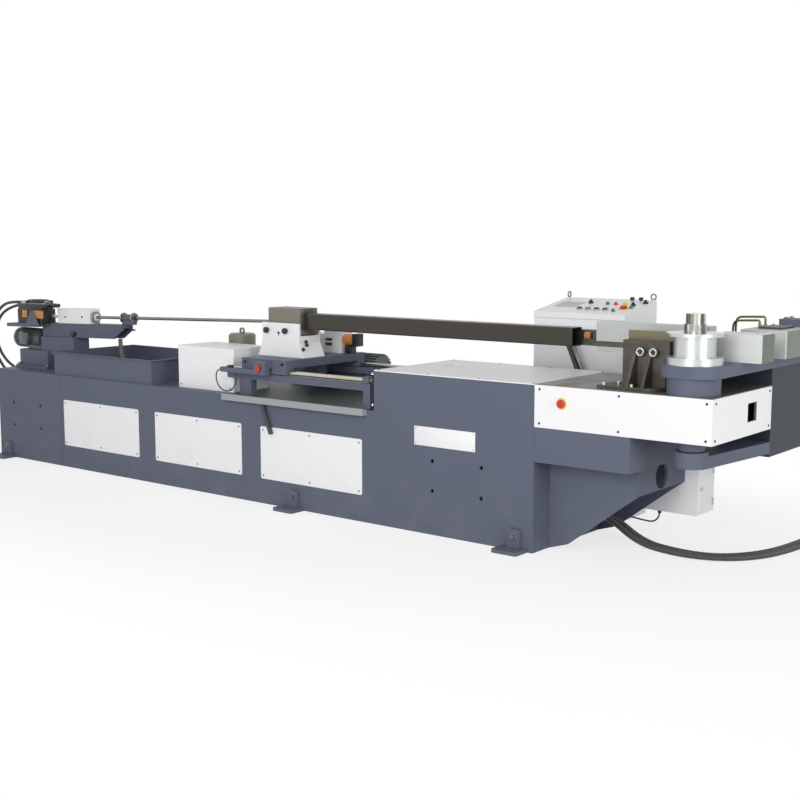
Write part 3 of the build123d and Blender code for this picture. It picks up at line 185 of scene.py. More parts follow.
class Finish(Nodes):
    """One material under construction."""

    coat_roughness = 0.12
    fade = 0.0004

    def __init__(self, title, roughness, metallic=0.0, coat=0.0, specular=0.5):
        self.material = bpy.data.materials.new(title)
        self.material.use_nodes = True
        super().__init__(self.material.node_tree)
        self.shader = self.tree.nodes["Principled BSDF"]
        even = {"Roughness": roughness, "Metallic": metallic, "Coat Weight": coat,
                "Coat Roughness": self.coat_roughness, "Specular IOR Level": specular}
        for name, value in even.items():
            self.shader.inputs[name].default_value = value
        frame_of = self.node("ShaderNodeTexCoord", {}, {}).outputs
        self.coordinates = frame_of["Object"]
        self.normals = frame_of["Normal"]

    def noise(self, scale, detail=3.0, stretch=(1, 1, 1)):
        """Noise over the object, drawn out along an axis by a small stretch."""
        place = self.node("ShaderNodeMapping", {}, {"Vector": self.coordinates, "Scale": stretch})
        made = self.node("ShaderNodeTexNoise", {}, {"Vector": place.outputs[0], "Scale": scale,
                                                    "Detail": detail, "Roughness": 0.55})
        return Level(self, made.outputs["Fac"])

    def part_of(self, vector, axis):
        """One part of a vector, as a level."""
        return Level(self, self.node("ShaderNodeSeparateXYZ", {}, {0: vector}).outputs[axis])

    def place(self, axis):
        """Place on the machine along one axis, in metres."""
        return self.part_of(self.coordinates, axis)

    def look(self, axis):
        """How far the surface looks along one of the piece's own axes."""
        return self.part_of(self.normals, axis)

    def blend(self, share, first, second):
        """Colour between two colours or links."""
        first = (*first, 1) if isinstance(first, tuple) else first
        second = (*second, 1) if isinstance(second, tuple) else second
        made = self.node("ShaderNodeMix", {"data_type": "RGBA"}, {0: share, 6: first, 7: second})
        return made.outputs[2]

    def coats(self, shade, zones):
        """Other colours over a shade, each between two places along an axis."""
        for axis, low, high, colour in zones:
            place = self.place(axis)
            share = (place.above(low - self.fade, low + self.fade)
                     * (1 - place.above(high - self.fade, high + self.fade)))
            shade = self.blend(share, shade, colour)
        return shade

    def edges(self, radius):
        """Rounded normal near sharp edges, and how far a point is on such an edge."""
        soft = self.node("ShaderNodeBevel", {"samples": 6}, {"Radius": radius}).outputs[0]
        flat = self.node("ShaderNodeNewGeometry", {}, {}).outputs["Normal"]
        turn = self.node("ShaderNodeVectorMath", {"operation": "DOT_PRODUCT"}, {0: soft, 1: flat})
        return soft, (1 - Level(self, turn.outputs["Value"])).above(0.02, 0.25)

    def done(self, shade, roughness, grain, height, soft):
        """Feed the shader, raise the grain over the soft normal and end the material."""
        raised = self.node("ShaderNodeBump", {}, {"Strength": 1.0, "Distance": height,
                                                  "Height": grain, "Normal": soft})
        self.put(self.shader.inputs["Base Color"], shade)
        self.put(self.shader.inputs["Roughness"], roughness)
        self.put(self.shader.inputs["Normal"], raised.outputs[0])
        return self.material


def scaled(colour, share):
    """Colour made darker or lighter."""
    return tuple(min(1.0, share * part) for part in colour)


def enamel(name, colour, roughness, worn_and_highlight=(0.5, 0.5, 0.5), wear_and_highlight=0.35, coat=0.0, grime=0.12,
           zones=(), specular=0.5):
    """Sprayed paint: orange peel, faint mottling, dust low down and rubbed edges; where the worn
    colour is lighter than the paint, as on the slate, those edges are partly wear and partly a
    painted highlight.
    """
    finish = Finish(name, roughness, coat=coat, specular=specular)
    soft, edge = finish.edges(0.0025)
    dust = (1 - finish.place("Z").above(0.0, 0.45)) * finish.noise(9.0, 5.0).above(0.42, 0.75)
    # Edges in the worn colour: wear, and where that colour is lighter than the paint, as on the
    # slate, partly a painted highlight
    rub_and_highlight = edge * finish.noise(26.0, 4.0).above(0.40, 0.66) * wear_and_highlight
    shade = finish.blend(finish.noise(3.0) * 0.35, colour, scaled(colour, 0.86))
    shade = finish.coats(shade, zones)
    shade = finish.blend(dust * grime, shade, (0.30, 0.28, 0.25))
    shade = finish.blend(rub_and_highlight, shade, worn_and_highlight)
    rough = finish.noise(40.0) * 0.12 + (roughness - 0.06)
    return finish.done(shade, rough, finish.noise(420.0, 2.0), 0.00012, soft)


def ground_metal(name, colour, roughness, stretch, stain=(0.25, 0.22, 0.19), amount=0.25,
                 metallic=1.0, side=None, zones=()):
    """Ground or drawn metal: fine lines along an axis, oil stains, other coats by place, painted
    shade on the faces that look along +X when a side colour is given, and a painted highlight on
    the edges.
    """
    finish = Finish(name, roughness, metallic=metallic)
    soft, edge = finish.edges(0.0015)
    lines = finish.noise(260.0, 3.0, stretch)
    stains = finish.noise(7.0, 5.0).above(0.48, 0.78)
    shade = finish.blend(lines * 0.5, colour, scaled(colour, 0.72))
    shade = finish.blend(stains * amount, shade, stain)
    # A side colour is painted shade: faces that look along the piece's own +X are darkened
    if side is not None:
        shade = finish.blend(finish.look("X").above(0.6, 0.85), shade, side)
    shade = finish.coats(shade, zones)
    # Painted highlight: every edge is lightened towards a brighter copy of the colour
    shade = finish.blend(edge * 0.5, shade, scaled(colour, 1.5))
    rough = lines * 0.22 + stains * 0.12 + (roughness - 0.12)
    return finish.done(shade, rough, lines, 0.00006, soft)


def painted_reflections(name, dark, bright, roughness, reach):
    """Turned metal with painted reflections: dark and bright streaks along its upright axis, and a
    painted highlight on its edges.
    """
    finish = Finish(name, roughness, metallic=1.0)
    soft, edge = finish.edges(0.0015)
    # Painted reflections: broad dark and bright bands along the upright axis
    reflection_streaks = finish.noise(30.0, 4.0, (1, 1, 0.02)).above(*reach)
    lines = finish.noise(260.0, 3.0, (0.05, 0.05, 1))
    shade = finish.blend(reflection_streaks, dark, bright)
    shade = finish.blend(lines * 0.3, shade, scaled(bright, 0.6))
    # Painted highlight: every edge is lightened almost to white
    shade = finish.blend(edge * 0.5, shade, (0.92, 0.92, 0.90))
    return finish.done(shade, lines * 0.20 + (roughness - 0.10), lines, 0.00006, soft)


def casting(name, colour, roughness, metallic=0.4):
    """Oiled casting or forging: grainy skin with rubbed edges."""
    finish = Finish(name, roughness, metallic=metallic)
    soft, edge = finish.edges(0.002)
    grain = finish.noise(190.0, 6.0)
    patches = finish.noise(11.0, 5.0).above(0.38, 0.70)
    shade = finish.blend(patches, colour, scaled(colour, 1.7))
    shade = finish.blend(edge * 0.6, shade, (0.34, 0.32, 0.30))
    return finish.done(shade, grain * 0.3 + (roughness - 0.15), grain, 0.0003, soft)


def moulded(name, colour, roughness, height=0.00008):
    """Moulded plastic or rubber with a fine grain and a painted highlight along its edges."""
    finish = Finish(name, roughness)
    soft, edge = finish.edges(0.001)
    speck = finish.noise(600.0, 2.0)
    shade = finish.blend(finish.noise(30.0) * 0.4, colour, scaled(colour, 0.8))
    # Painted highlight: edges lightened towards white
    shade = finish.blend(edge * 0.25, shade, tuple(0.5 + 0.5 * part for part in colour))
    return finish.done(shade, speck * 0.15 + (roughness - 0.07), speck, height, soft)


# Places at which a node's own coat changes: the foot of the console's lifting eyes, the back of the
# clamp's jaw, the top of its case, the pressure table's upper face and the drip tray's rim
EYES_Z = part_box("console_cabinet")[1].z - 0.0398
JAW_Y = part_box("clamp_die")[0].y + 0.1625
CASE_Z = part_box("clamp_cylinder")[1].z - 0.0114
TABLE_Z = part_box("pressure_slide")[0].z + 0.0436
TRAY_RIM_Z = BED_Z - 0.0315


def make_finishes(colours):
    """Every finish of the machine by its plain name."""
    slate = tuple(colours.slate)
    white = tuple(colours.white)
    grey = (0.52, 0.545, 0.52)
    sheet = {"roughness": 0.38, "worn_and_highlight": (0.62, 0.62, 0.62), "wear_and_highlight": 0.25, "grime": 0.10}
    tooling = {"roughness": 0.42, "stretch": (1, 0.05, 1), "amount": 0.18, "metallic": 0.25}
    return {
        # The slate's lighter worn colour makes its edges partly wear and partly a painted highlight
        "slate": enamel("slate_enamel", slate, 0.46, worn_and_highlight=(0.24, 0.26, 0.30), specular=0.12),
        # A darker copy of the slate enamel, which paints shade into the arm post's colour
        "slate_painted_shade": enamel("slate_painted_shade_enamel", (0.044, 0.054, 0.068), 0.46,
                             worn_and_highlight=(0.18, 0.20, 0.23), specular=0.12),
        "white": enamel("white_coat", white, **sheet),
        "console": enamel("console_coat", white, **sheet,
                          zones=(("Z", EYES_Z, ABOVE_ALL, (0.22, 0.21, 0.165)),)),
        "steel": ground_metal("ground_steel", (0.50, 0.51, 0.50), 0.36, (0.03, 1, 1)),
        "turned": ground_metal("turned_steel", (0.62, 0.65, 0.64), 0.32, (0.05, 0.05, 1),
                               amount=0.12),
        # Spindle and die nut: painted reflections as dark and bright upright streaks
        "stub": painted_reflections("steel_painted_reflections", (0.075, 0.070, 0.055), (0.80, 0.80, 0.75), 0.24,
                         (0.40, 0.62)),
        "chrome": ground_metal("hard_chrome", (0.66, 0.66, 0.64), 0.18, (0.02, 1, 1), amount=0.10),
        "rod": ground_metal("oiled_rod", (0.25, 0.245, 0.215), 0.26, (0.02, 1, 1), amount=0.20),
        "rail": ground_metal("guide_rail", (0.58, 0.56, 0.47), 0.24, (0.02, 1, 1), amount=0.20),
        "tube": ground_metal("mill_tube", (0.062, 0.056, 0.048), 0.33, (0.012, 1, 1),
                             stain=(0.045, 0.039, 0.033), amount=0.5, metallic=0.65),
        "plate": ground_metal("oiled_plate", (0.25, 0.228, 0.205), 0.40, (1, 0.06, 1),
                              stain=(0.10, 0.085, 0.072), amount=0.55, metallic=0.8),
        "tool": ground_metal("grey_tool_steel", grey, stain=(0.36, 0.38, 0.35), **tooling),
        # Its side colour paints shade on the clamp die's faces that look along +X
        "clamp": ground_metal("clamp_steel", (0.66, 0.67, 0.66), stain=(0.40, 0.42, 0.39),
                              **tooling, side=(0.118, 0.142, 0.110),
                              zones=(("Y", JAW_Y, BEHIND_ALL, (0.60, 0.65, 0.69)),)),
        # Its side colour paints shade on the clamp case's faces that look along +X
        "clamp_case": ground_metal("clamp_case_steel", grey, stain=(0.38, 0.40, 0.37),
                                   **tooling, side=(0.165, 0.195, 0.152),
                                   zones=(("Z", CASE_Z, ABOVE_ALL, (0.052, 0.054, 0.046)),)),
        "slide": ground_metal("slide_steel", (0.50, 0.525, 0.50), 0.40, (0.03, 1, 1), metallic=0.4,
                              zones=(("Z", TABLE_Z, ABOVE_ALL, (0.100, 0.090, 0.075)),)),
        "bronze": ground_metal("wiper_bronze", (0.215, 0.190, 0.120), 0.42, (0.05, 1, 1),
                               stain=(0.12, 0.10, 0.06), amount=0.4, metallic=0.7),
        "brown": casting("brown_casting", (0.062, 0.055, 0.046), 0.46),
        "blued": casting("blued_steel", (0.030, 0.031, 0.034), 0.38, 0.8),
        "bolt": casting("zinc_bolt", (0.15, 0.15, 0.155), 0.40, 0.8),
        "green": enamel("green_enamel", (0.058, 0.082, 0.079), 0.35, worn_and_highlight=(0.20, 0.24, 0.22),
                        coat=0.3),
        "olive": enamel("olive_enamel", (0.215, 0.210, 0.160), 0.40, worn_and_highlight=(0.36, 0.36, 0.31)),
        "chuck": enamel("chuck_enamel", (0.190, 0.178, 0.145), 0.44, worn_and_highlight=(0.36, 0.35, 0.31)),
        "tray": enamel("tray_enamel", (0.33, 0.36, 0.37), 0.46, worn_and_highlight=(0.55, 0.56, 0.56),
                       specular=0.15,
                       # Painted shade: behind the bed's front the tray is darker, as if shaded by
                       # the machine
                       zones=(("Y", FRONT_Y, BEHIND_ALL, (0.075, 0.090, 0.086)),
                              ("Z", 0.0, TRAY_RIM_Z, (0.060, 0.064, 0.070)))),
        "panel_grey": enamel("panel_enamel", (0.46, 0.49, 0.48), 0.40, worn_and_highlight=(0.55, 0.56, 0.56)),
        "black": moulded("black_plastic", (0.012, 0.012, 0.013), 0.42),
        "red": moulded("red_plastic", (0.56, 0.026, 0.014), 0.30),
        "green_cap": moulded("green_plastic", (0.022, 0.20, 0.060), 0.30),
        "orange": moulded("orange_coil", (0.74, 0.27, 0.045), 0.36),
        "coil": moulded("brown_orange_coil", (0.50, 0.21, 0.065), 0.42),
        "yellow": moulded("yellow_ring", (0.86, 0.56, 0.035), 0.38),
        "rubber": moulded("hose_rubber", (0.026, 0.027, 0.028), 0.55, 0.0002),
        "grey_hose": moulded("grey_hose", (0.110, 0.108, 0.088), 0.50, 0.0002),
        "conduit": moulded("conduit_plastic", (0.066, 0.068, 0.057), 0.46),
        "brass": ground_metal("pipe_olive", (0.150, 0.140, 0.070), 0.34, (1, 1, 1), amount=0.2),
    }


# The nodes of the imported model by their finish
FINISHED_NODES = {
    "slate": ("bed_frame", "anchor_feet", "head_frame", "nose_support", "spindle_housings",
              "arm_top_plate", "arm_bottom_plate", "oil_tray", "tail_tower", "mandrel_beam",
              "rail_beams", "carriage_plate"),
    # The arm post takes the darker slate copy: painted shade
    "slate_painted_shade": ("arm_post",),
    "white": ("access_panels", "head_cover", "nose_panels", "drive_cover", "junction_box",
              "chuck_housing", "chuck_drive", "crosshead"),
    "console": ("console_cabinet",),
    "steel": ("bend_gear", "drive_pinion", "pressure_base"),
    "turned": ("bend_die",),
    "stub": ("spindle", "die_nut"),
    "chrome": ("spindle_bearings", "feed_screw"),
    "rod": ("mandrel_rod",),
    "rail": ("guide_rails",),
    "tube": ("tube",),
    "plate": ("nose_top_plate",),
    "tool": ("pressure_die",),
    "clamp": ("clamp_die",),
    "clamp_case": ("clamp_cylinder",),
    "slide": ("pressure_slide",),
    "bronze": ("wiper_die",),
    "brown": ("wiper_holder", "collet"),
    "blued": ("bend_motor", "mandrel_cylinder", "conduit_connectors"),
    "green": ("tail_motor", "pump_motor"),
    "olive": ("feed_gearbox",),
    "chuck": ("chuck_body",),
    "tray": ("drip_tray",),
    "black": ("lock_handle", "push_button_1", "push_button_3", "push_button_4"),
    "red": ("console_estop", "nose_estop", "carriage_estop"),
    "green_cap": ("push_button_2",),
    "rubber": ("tail_hoses", "estop_cable"),
    "conduit": ("floor_conduits",),
}

FINISHES = {}


# Shapes

def round_edges(mesh, edges, size):
    """Round these edges of a mesh."""
    bmesh.ops.bevel(mesh, geom=list(dict.fromkeys(edges)), offset=size, offset_type="OFFSET",
                    affect="EDGES", segments=2, profile=0.5, material=-1, clamp_overlap=True)


class Shape:
    """A mesh under construction, in metres in the part's own frame."""

    crease = math.radians(32)

    def __init__(self):
        self.mesh = bmesh.new()

    def block(self, low, high, edge):
        """Block between two corners with rounded edges."""
        low = Vector(low)
        high = Vector(high)
        foot = Matrix.Translation((*((low + high) / 2).xy, low.z))
        self.slab(foot, *(high - low), edge)

    def slab(self, place, width, depth, height, edge):
        """Block with rounded edges that stands on a place, along that place's own axes."""
        grow = Matrix.Translation((0, 0, height / 2)) @ Matrix.Diagonal((width, depth, height, 1))
        made = bmesh.ops.create_cube(self.mesh, size=1.0, matrix=place @ grow)
        round_edges(self.mesh, [line for vert in made["verts"] for line in vert.link_edges], edge)

    def post(self, place, r, height, sides, taper=1.0):
        """Round or many sided post standing on a place, with its top as a share of its foot."""
        middle = place @ Matrix.Translation((0, 0, height / 2))
        bmesh.ops.create_cone(self.mesh, cap_ends=True, cap_tris=False, segments=sides, radius1=r,
                              radius2=taper * r, depth=height, matrix=middle)

    def turned(self, place, profile, steps):
        """Outline of radius and height, turned about the place's own Z."""
        part = bmesh.new()
        verts = [part.verts.new((r, 0, z)) for r, z in profile]
        lines = [part.edges.new(pair) for pair in zip(verts, verts[1:])]
        bmesh.ops.spin(part, geom=verts + lines, cent=(0, 0, 0), axis=(0, 0, 1), angle=2 * math.pi,
                       steps=steps, use_merge=True, use_duplicate=False)
        bmesh.ops.remove_doubles(part, verts=part.verts, dist=0.000001)
        bmesh.ops.transform(part, matrix=place, verts=part.verts)
        self.add(part)

    def barrel(self, place, r, height, edge, steps):
        """Cylinder with both rims cut off."""
        self.turned(place, [(0, 0), (r - edge, 0), (r, edge), (r, height - edge),
                            (r - edge, height), (0, height)], steps)

    def lock_ring(self, place, inner, r, height, edge, steps):
        """Ring with both outer rims cut off."""
        self.turned(place, [(inner, 0), (r - edge, 0), (r, edge), (r, height - edge),
                            (r - edge, height), (inner, height), (inner, 0)], steps)

    def collar(self, place, inner, r, height, slope, steps):
        """Ring whose upper outer rim slopes by a width and a height."""
        width, drop = slope
        self.turned(place, [(inner, 0), (r, 0), (r, height - drop), (r - width, height),
                            (inner, height), (inner, 0)], steps)

    def prism(self, place, outline, depth, edge):
        """Flat outline in the place's own X and Y, drawn out along its Z, with rounded edges."""
        part = bmesh.new()
        face = part.faces.new([part.verts.new((x, y, 0)) for x, y in outline])
        made = bmesh.ops.extrude_face_region(part, geom=[face])
        moved = [item for item in made["geom"] if isinstance(item, bmesh.types.BMVert)]
        bmesh.ops.translate(part, verts=moved, vec=(0, 0, depth))
        round_edges(part, part.edges, edge)
        bmesh.ops.transform(part, matrix=place, verts=part.verts)
        self.add(part)

    def add(self, part):
        """Take a finished part into this mesh."""
        data = bpy.data.meshes.new("part")
        part.to_mesh(data)
        part.free()
        self.mesh.from_mesh(data)
        bpy.data.meshes.remove(data)

    def bead(self, start, end, r, out):
        """Weld bead of overlapping drops between two points."""
        start = Vector(start)
        way = Vector(end) - start
        count = round(way.length / (1.2 * r))
        turn = facing((0, 0, 0), way)
        for number in range(count + 1):
            place = Matrix.Translation(start + way * (number / count)) @ turn
            shaped = place @ Matrix.Diagonal((out, out, r, 1))
            bmesh.ops.create_icosphere(self.mesh, subdivisions=1, radius=1.0, matrix=shaped)

    def knob(self, place, r, height):
        """Round knob with a waist and a domed top."""
        self.turned(place, [(0, 0), (0.62 * r, 0), (0.62 * r, 0.28 * height), (r, 0.36 * height),
                            (r, 0.80 * height), (0.86 * r, 0.94 * height), (0.4 * r, height),
                            (0, height)], 24)

    def swept(self, line, stations, radii, sides):
        """Round tube along a line, with a radius at each share of the way."""
        walked = [0.0]
        for a, b in zip(line, line[1:]):
            walked.append(walked[-1] + (b - a).length)
        rims = []
        leg = 0
        side = (line[1] - line[0]).orthogonal()
        for share, r in zip(stations, radii):
            reach = share * walked[-1]
            while leg < len(line) - 2 and walked[leg + 1] < reach:
                leg += 1
            part = (reach - walked[leg]) / (walked[leg + 1] - walked[leg])
            way = (line[leg + 1] - line[leg]).normalized()
            side = (side - way * side.dot(way)).normalized()
            turn = Matrix((side, way.cross(side), way)).transposed().to_4x4()
            place = Matrix.Translation(line[leg].lerp(line[leg + 1], part)) @ turn
            made = bmesh.ops.create_circle(self.mesh, cap_ends=False, segments=sides, radius=r,
                                           matrix=place)
            rims.append(made["verts"])
        for first, second in zip(rims, rims[1:]):
            both = set(first + second)
            edges = [line for vert in first + second for line in vert.link_edges
                     if both.issuperset(line.verts)]
            bmesh.ops.bridge_loops(self.mesh, edges=list(dict.fromkeys(edges)))
        for rim in (rims[0], rims[-1]):
            self.mesh.faces.new(rim)

    def pipe(self, points, r):
        """Bent pipe that follows control points."""
        line = read_line("look", points, 8)
        count = 6 * len(points)
        self.swept(line, [step / count for step in range(count + 1)], [r] * (count + 1), 14)

    def cap_screw(self, place, r, height):
        """Cylinder head screw with its socket."""
        socket = 0.55 * r
        depth = 0.45 * height
        self.turned(place, [(0, 0), (r, 0), (r, 0.86 * height), (0.88 * r, height),
                            (socket, height), (socket, depth), (0, depth)], 20)

    def pan_screw(self, place, r):
        """Low domed screw with a round recess."""
        self.turned(place, [(0, 0), (r, 0), (0.92 * r, 0.3 * r), (0.6 * r, 0.55 * r),
                            (0.3 * r, 0.6 * r), (0.22 * r, 0.25 * r), (0, 0.25 * r)], 14)

    def hex_bolt(self, place, across, height):
        """Hexagon head on its washer."""
        r = across / math.sqrt(3)
        washer_r = 1.02 * across
        washer = 0.16 * height
        flats = 0.84 * height
        self.turned(place, [(0, 0), (washer_r, 0), (washer_r, washer), (0, washer)], 24)
        seat = place @ Matrix.Translation((0, 0, washer))
        self.post(seat, r, flats, 6)
        self.post(seat @ Matrix.Translation((0, 0, flats)), r, height - flats, 6, 0.82)

    def piece(self, name, body, finish, replaced=()):
        """End the mesh as a piece that rides on a body."""
        bmesh.ops.recalc_face_normals(self.mesh, faces=self.mesh.faces)
        for face in self.mesh.faces:
            face.smooth = True
        for line in self.mesh.edges:
            line.smooth = len(line.link_faces) == 2 and line.calc_face_angle() < self.crease
        data = bpy.data.meshes.new(name)
        self.mesh.to_mesh(data)
        self.mesh.free()
        return settle(bpy.data.objects.new(name, data), body, finish, replaced)


def settle(thing, body, finish, replaced=()):
    """Link a piece, give it its finish and let it ride on its body."""
    bpy.context.scene.collection.objects.link(thing)
    thing.data.materials.append(FINISHES[finish])
    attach(thing, body)
    if replaced:
        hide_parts(*replaced)
    return thing


def run_of(name, points, r, resolution=8):
    """Smooth curve through control points, as a round cord."""
    data = bpy.data.curves.new(name, "CURVE")
    data.dimensions = "3D"
    data.resolution_u = resolution
    data.bevel_depth = r
    data.bevel_resolution = 4
    data.use_fill_caps = True
    line = data.splines.new("NURBS")
    line.points.add(len(points) - 1)
    for control, place in zip(line.points, points):
        control.co = (*place, 1)
    line.order_u = 3
    line.use_endpoint_u = True
    return bpy.data.objects.new(name, data)


def length_of(points):
    """Length of a run of points."""
    return sum((b - a).length for a, b in zip(points, points[1:]))


def read_line(name, points, resolution):
    """Points along the smooth curve of a route."""
    thing = run_of(name, points, 0.0, resolution)
    bpy.context.scene.collection.objects.link(thing)
    seen = thing.evaluated_get(bpy.context.evaluated_depsgraph_get())
    sampled = bpy.data.meshes.new_from_object(seen)
    line = [vert.co.copy() for vert in sampled.vertices]
    bpy.data.meshes.remove(sampled)
    bpy.data.objects.remove(thing)
    return line


def stop_ring(name, place, r):
    """Flat yellow ring round a stop button, clear of its cap."""
    shape = Shape()
    shape.collar(place, 0.0225, r, 0.003, (0.001, 0.001), 36)
    shape.piece(name, "frame", "yellow")


def stop_box_glands():
    """Where the stop cable leaves the left end of the arm, and where it comes up into the box."""
    cable_low, cable_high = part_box("estop_cable")
    button_low, button_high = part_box("carriage_estop")
    across = (cable_low.y + cable_high.y) / 2
    button_z = (button_low.z + button_high.z) / 2
    arm = Vector((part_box("carriage_plate")[0].x, across, button_z - 0.025))
    return arm, arm + Vector((0.125, 0, -0.015))


# Sizes and colours that a user may change

class BENDER_PG_colours(bpy.types.PropertyGroup):
    """Paint colours of the machine."""

    slate: bpy.props.FloatVectorProperty(name="Slate", description="Paint of the frame",
                                         subtype="COLOR", size=3, min=0, max=1,
                                         default=(0.116, 0.130, 0.177))
    white: bpy.props.FloatVectorProperty(name="White", description="Coat of the sheet covers",
                                         subtype="COLOR", size=3, min=0, max=1,
                                         default=(0.86, 0.86, 0.87))


class BENDER_PG_sizes(bpy.types.PropertyGroup):
    """Sizes of the fittings."""

    sheet_screw: bpy.props.FloatProperty(name="Sheet screw",
                                         description="Head radius of a sheet screw",
                                         default=0.0055, unit="LENGTH")
    foot_bolt: bpy.props.FloatProperty(name="Foot bolt", description="Foot bolt across its flats",
                                       default=0.020, unit="LENGTH")


# Operators

class BENDER_OT_finishes(bpy.types.Operator):
    """Give every CAD node its finish"""

    bl_idname = "bender.finishes"
    bl_label = "Finishes"

    def execute(self, context):
        FINISHES.update(make_finishes(context.scene.bender_colours))
        finish_of = {name: finish for finish, names in FINISHED_NODES.items() for name in names}
        for name, thing in nodes.items():
            thing.data.materials.clear()
            thing.data.materials.append(FINISHES[finish_of[name]])
        return {"FINISHED"}


class BENDER_OT_cords(bpy.types.Operator):
    """Lay the conduits, hoses and cables"""

    bl_idname = "bender.cords"
    bl_label = "Cords"

    gap = 0.0003
    pitch = 0.038
    coupling_r = 0.024
    coupling_ribs = 20
    route = ((0.0003, 0.620, 0.110), (0.090, 0.620, 0.110), (0.195, 0.590, 0.078),
             (0.300, 0.545, 0.038), (0.420, 0.492, 0.018), (0.550, 0.450, 0.018),
             (0.690, 0.435, 0.018), (0.820, 0.470, 0.018), (0.920, 0.560, 0.018),
             (0.990, 0.690, 0.018), (1.030, 0.840, 0.018), (1.050, 1.000, 0.018),
             (1.060, 1.120, 0.018))
    port_r = 0.014
    port_up = 0.118
    short_port = (-0.760, 0.0)
    short_turns = ((0, 0), (-0.170, 0), (-0.320, -0.028), (-0.430, -0.120), (-0.475, -0.250),
                   (-0.455, -0.390), (-0.370, -0.510), (-0.240, -0.590), (-0.110, -0.622))
    long_port = (-0.506, 0.030)
    long_turns = ((0, 0), (-0.170, 0), (-0.360, -0.026), (-0.540, -0.062), (-0.670, -0.132),
                  (-0.730, -0.250), (-0.705, -0.380), (-0.610, -0.480), (-0.470, -0.540),
                  (-0.340, -0.560))
    drain_port = (0.335, 0.0, -0.1503)
    drain_r = 0.015
    tray_sheet = 0.006
    stop_turns = ((-gap, 0), (-0.032, -0.003), (-0.056, -0.026), (-0.061, -0.062), (-0.046, -0.102),
                  (-0.010, -0.132), (0.038, -0.141), (0.084, -0.127), (0.114, -0.092),
                  (0.124, -0.050))

    def execute(self, context):
        made = [self.conduit("front", -0.5), self.conduit("rear", 0.5), self.box_cable()]
        for thing in made:
            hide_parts("floor_conduits")
        self.tail_hoses()
        self.stop_cable()
        return {"FINISHED"}

    def conduit(self, name, side):
        """One corrugated conduit along its half of the route."""
        points = []
        for number, (x, y, z) in enumerate(self.route):
            before = self.route[max(number - 1, 0)]
            after = self.route[min(number + 1, len(self.route) - 1)]
            along = Vector((after[0] - before[0], after[1] - before[1]))
            shift = side * self.pitch / along.length
            start = number < 2
            off_x = 0 if start else -along.y * shift
            off_y = side * self.pitch if start else along.x * shift
            points.append(spot(x + off_x, y + off_y, z))
        line = read_line("look", points, 24)
        thing = corrugated("floor_conduit_" + name, line, crest=0.017, valley=0.0142, pitch=0.0085)
        way = (points[-1] - points[-2]).normalized()
        end = facing(Vector((*points[-1].xy, self.coupling_r)), way)
        coupling = self.coupling("conduit_coupling_" + name, end)
        return thing

    def coupling(self, name, end):
        """Screwed coupling on the far end of a conduit."""
        shape = Shape()
        r = self.coupling_r
        shape.turned(end, [(0, 0), (0.80 * r, 0), (0.86 * r, 0.002), (0.86 * r, 0.010),
                           (0.80 * r, 0.012), (0.80 * r, 0.016), (0.9 * r, 0.016), (0.9 * r, 0.068),
                           (0.86 * r, 0.070), (0.70 * r, 0.070), (0.70 * r, 0.050), (0, 0.050)], 32)
        for number in range(self.coupling_ribs):
            turn = Matrix.Rotation(2 * math.pi * number / self.coupling_ribs, 4, "Z")
            rib = end @ turn @ Matrix.Translation((0.92 * r, 0, 0.018))
            shape.slab(rib, 0.0036, 0.0036, 0.022, 0.001)
        return shape.piece(name, "frame", "blued", ("conduit_connectors",))

    def box_cable(self):
        """Thin cable from the bed's end wall into the white box."""
        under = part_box("junction_box")[0].z
        turns = ((self.gap, 0.104), (0.100, 0.103), (0.200, 0.097), (0.270, 0.090), (0.322, 0.088),
                 (0.350, 0.104), (BOX_CABLE_X, under - 0.027), (BOX_CABLE_X, under - self.gap))
        points = [spot(x, BOX_CABLE_Y, z) for x, z in turns]
        thing = settle(run_of("box_cable", points, 0.0045), "frame", "rubber")
        length_of(read_line("look", points, 24))
        return thing

    def tail_hoses(self):
        """Two pressure hoses and the drain hose at the tail."""
        for name, route in self.hose_routes().items():
            r = self.drain_r if name == "drain_hose" else 0.011
            finish = "grey_hose" if name == "drain_hose" else "rubber"
            thing = settle(run_of(name, route, r), "frame", finish, ("tail_hoses",))
            length_of(read_line("look", route, 24))
            2 * r
            "bare" if name == "drain_hose" else "object"
            if name != "drain_hose":
                self.hose_end(name + "_end", route[0])

    def hose_end(self, name, start):
        """Hexagon nut and crimped sleeve where a hose leaves its port."""
        shape = Shape()
        place = facing(start, -X)
        inner = 0.0117
        shape.turned(place, [(inner, 0.014), (0.0155, 0.014), (0.0155, 0.018), (0.0148, 0.020),
                             (0.0148, 0.052), (0.0138, 0.055), (inner, 0.055), (inner, 0.014)], 24)
        shape.turned(place, [(inner, 0), (0.0168, 0), (0.0172, 0.001), (0.0172, 0.013),
                             (0.0168, 0.014), (inner, 0.014), (inner, 0)], 6)
        shape.piece(name, "frame", "steel")

    def hose_routes(self):
        """Control points of the three hoses."""
        drain = on_mandrel(*self.drain_port)
        fall = drain.z - (BED_Z + self.tray_sheet + self.drain_r + self.gap)
        drain_turns = ((0, -self.gap), (0, -0.3 * fall), (0.020, -0.62 * fall),
                       (0.080, -0.88 * fall), (0.165, -fall), (0.290, -fall))
        return {"tail_hose_long": self.to_tail(self.long_port, self.long_turns),
                "tail_hose_short": self.to_tail(self.short_port, self.short_turns),
                "drain_hose": [drain + Vector((x, 0, z)) for x, z in drain_turns]}

    def to_tail(self, port, turns):
        """Control points from a port on the cylinder back into the bed's tail wall."""
        start = on_mandrel(*port, self.port_up) + Vector((-self.port_r - self.gap, 0, -self.port_r))
        points = [start + Vector((x, 0, z)) for x, z in turns]
        return points + [Vector((TAIL_X - self.gap, start.y, points[-1].z))]

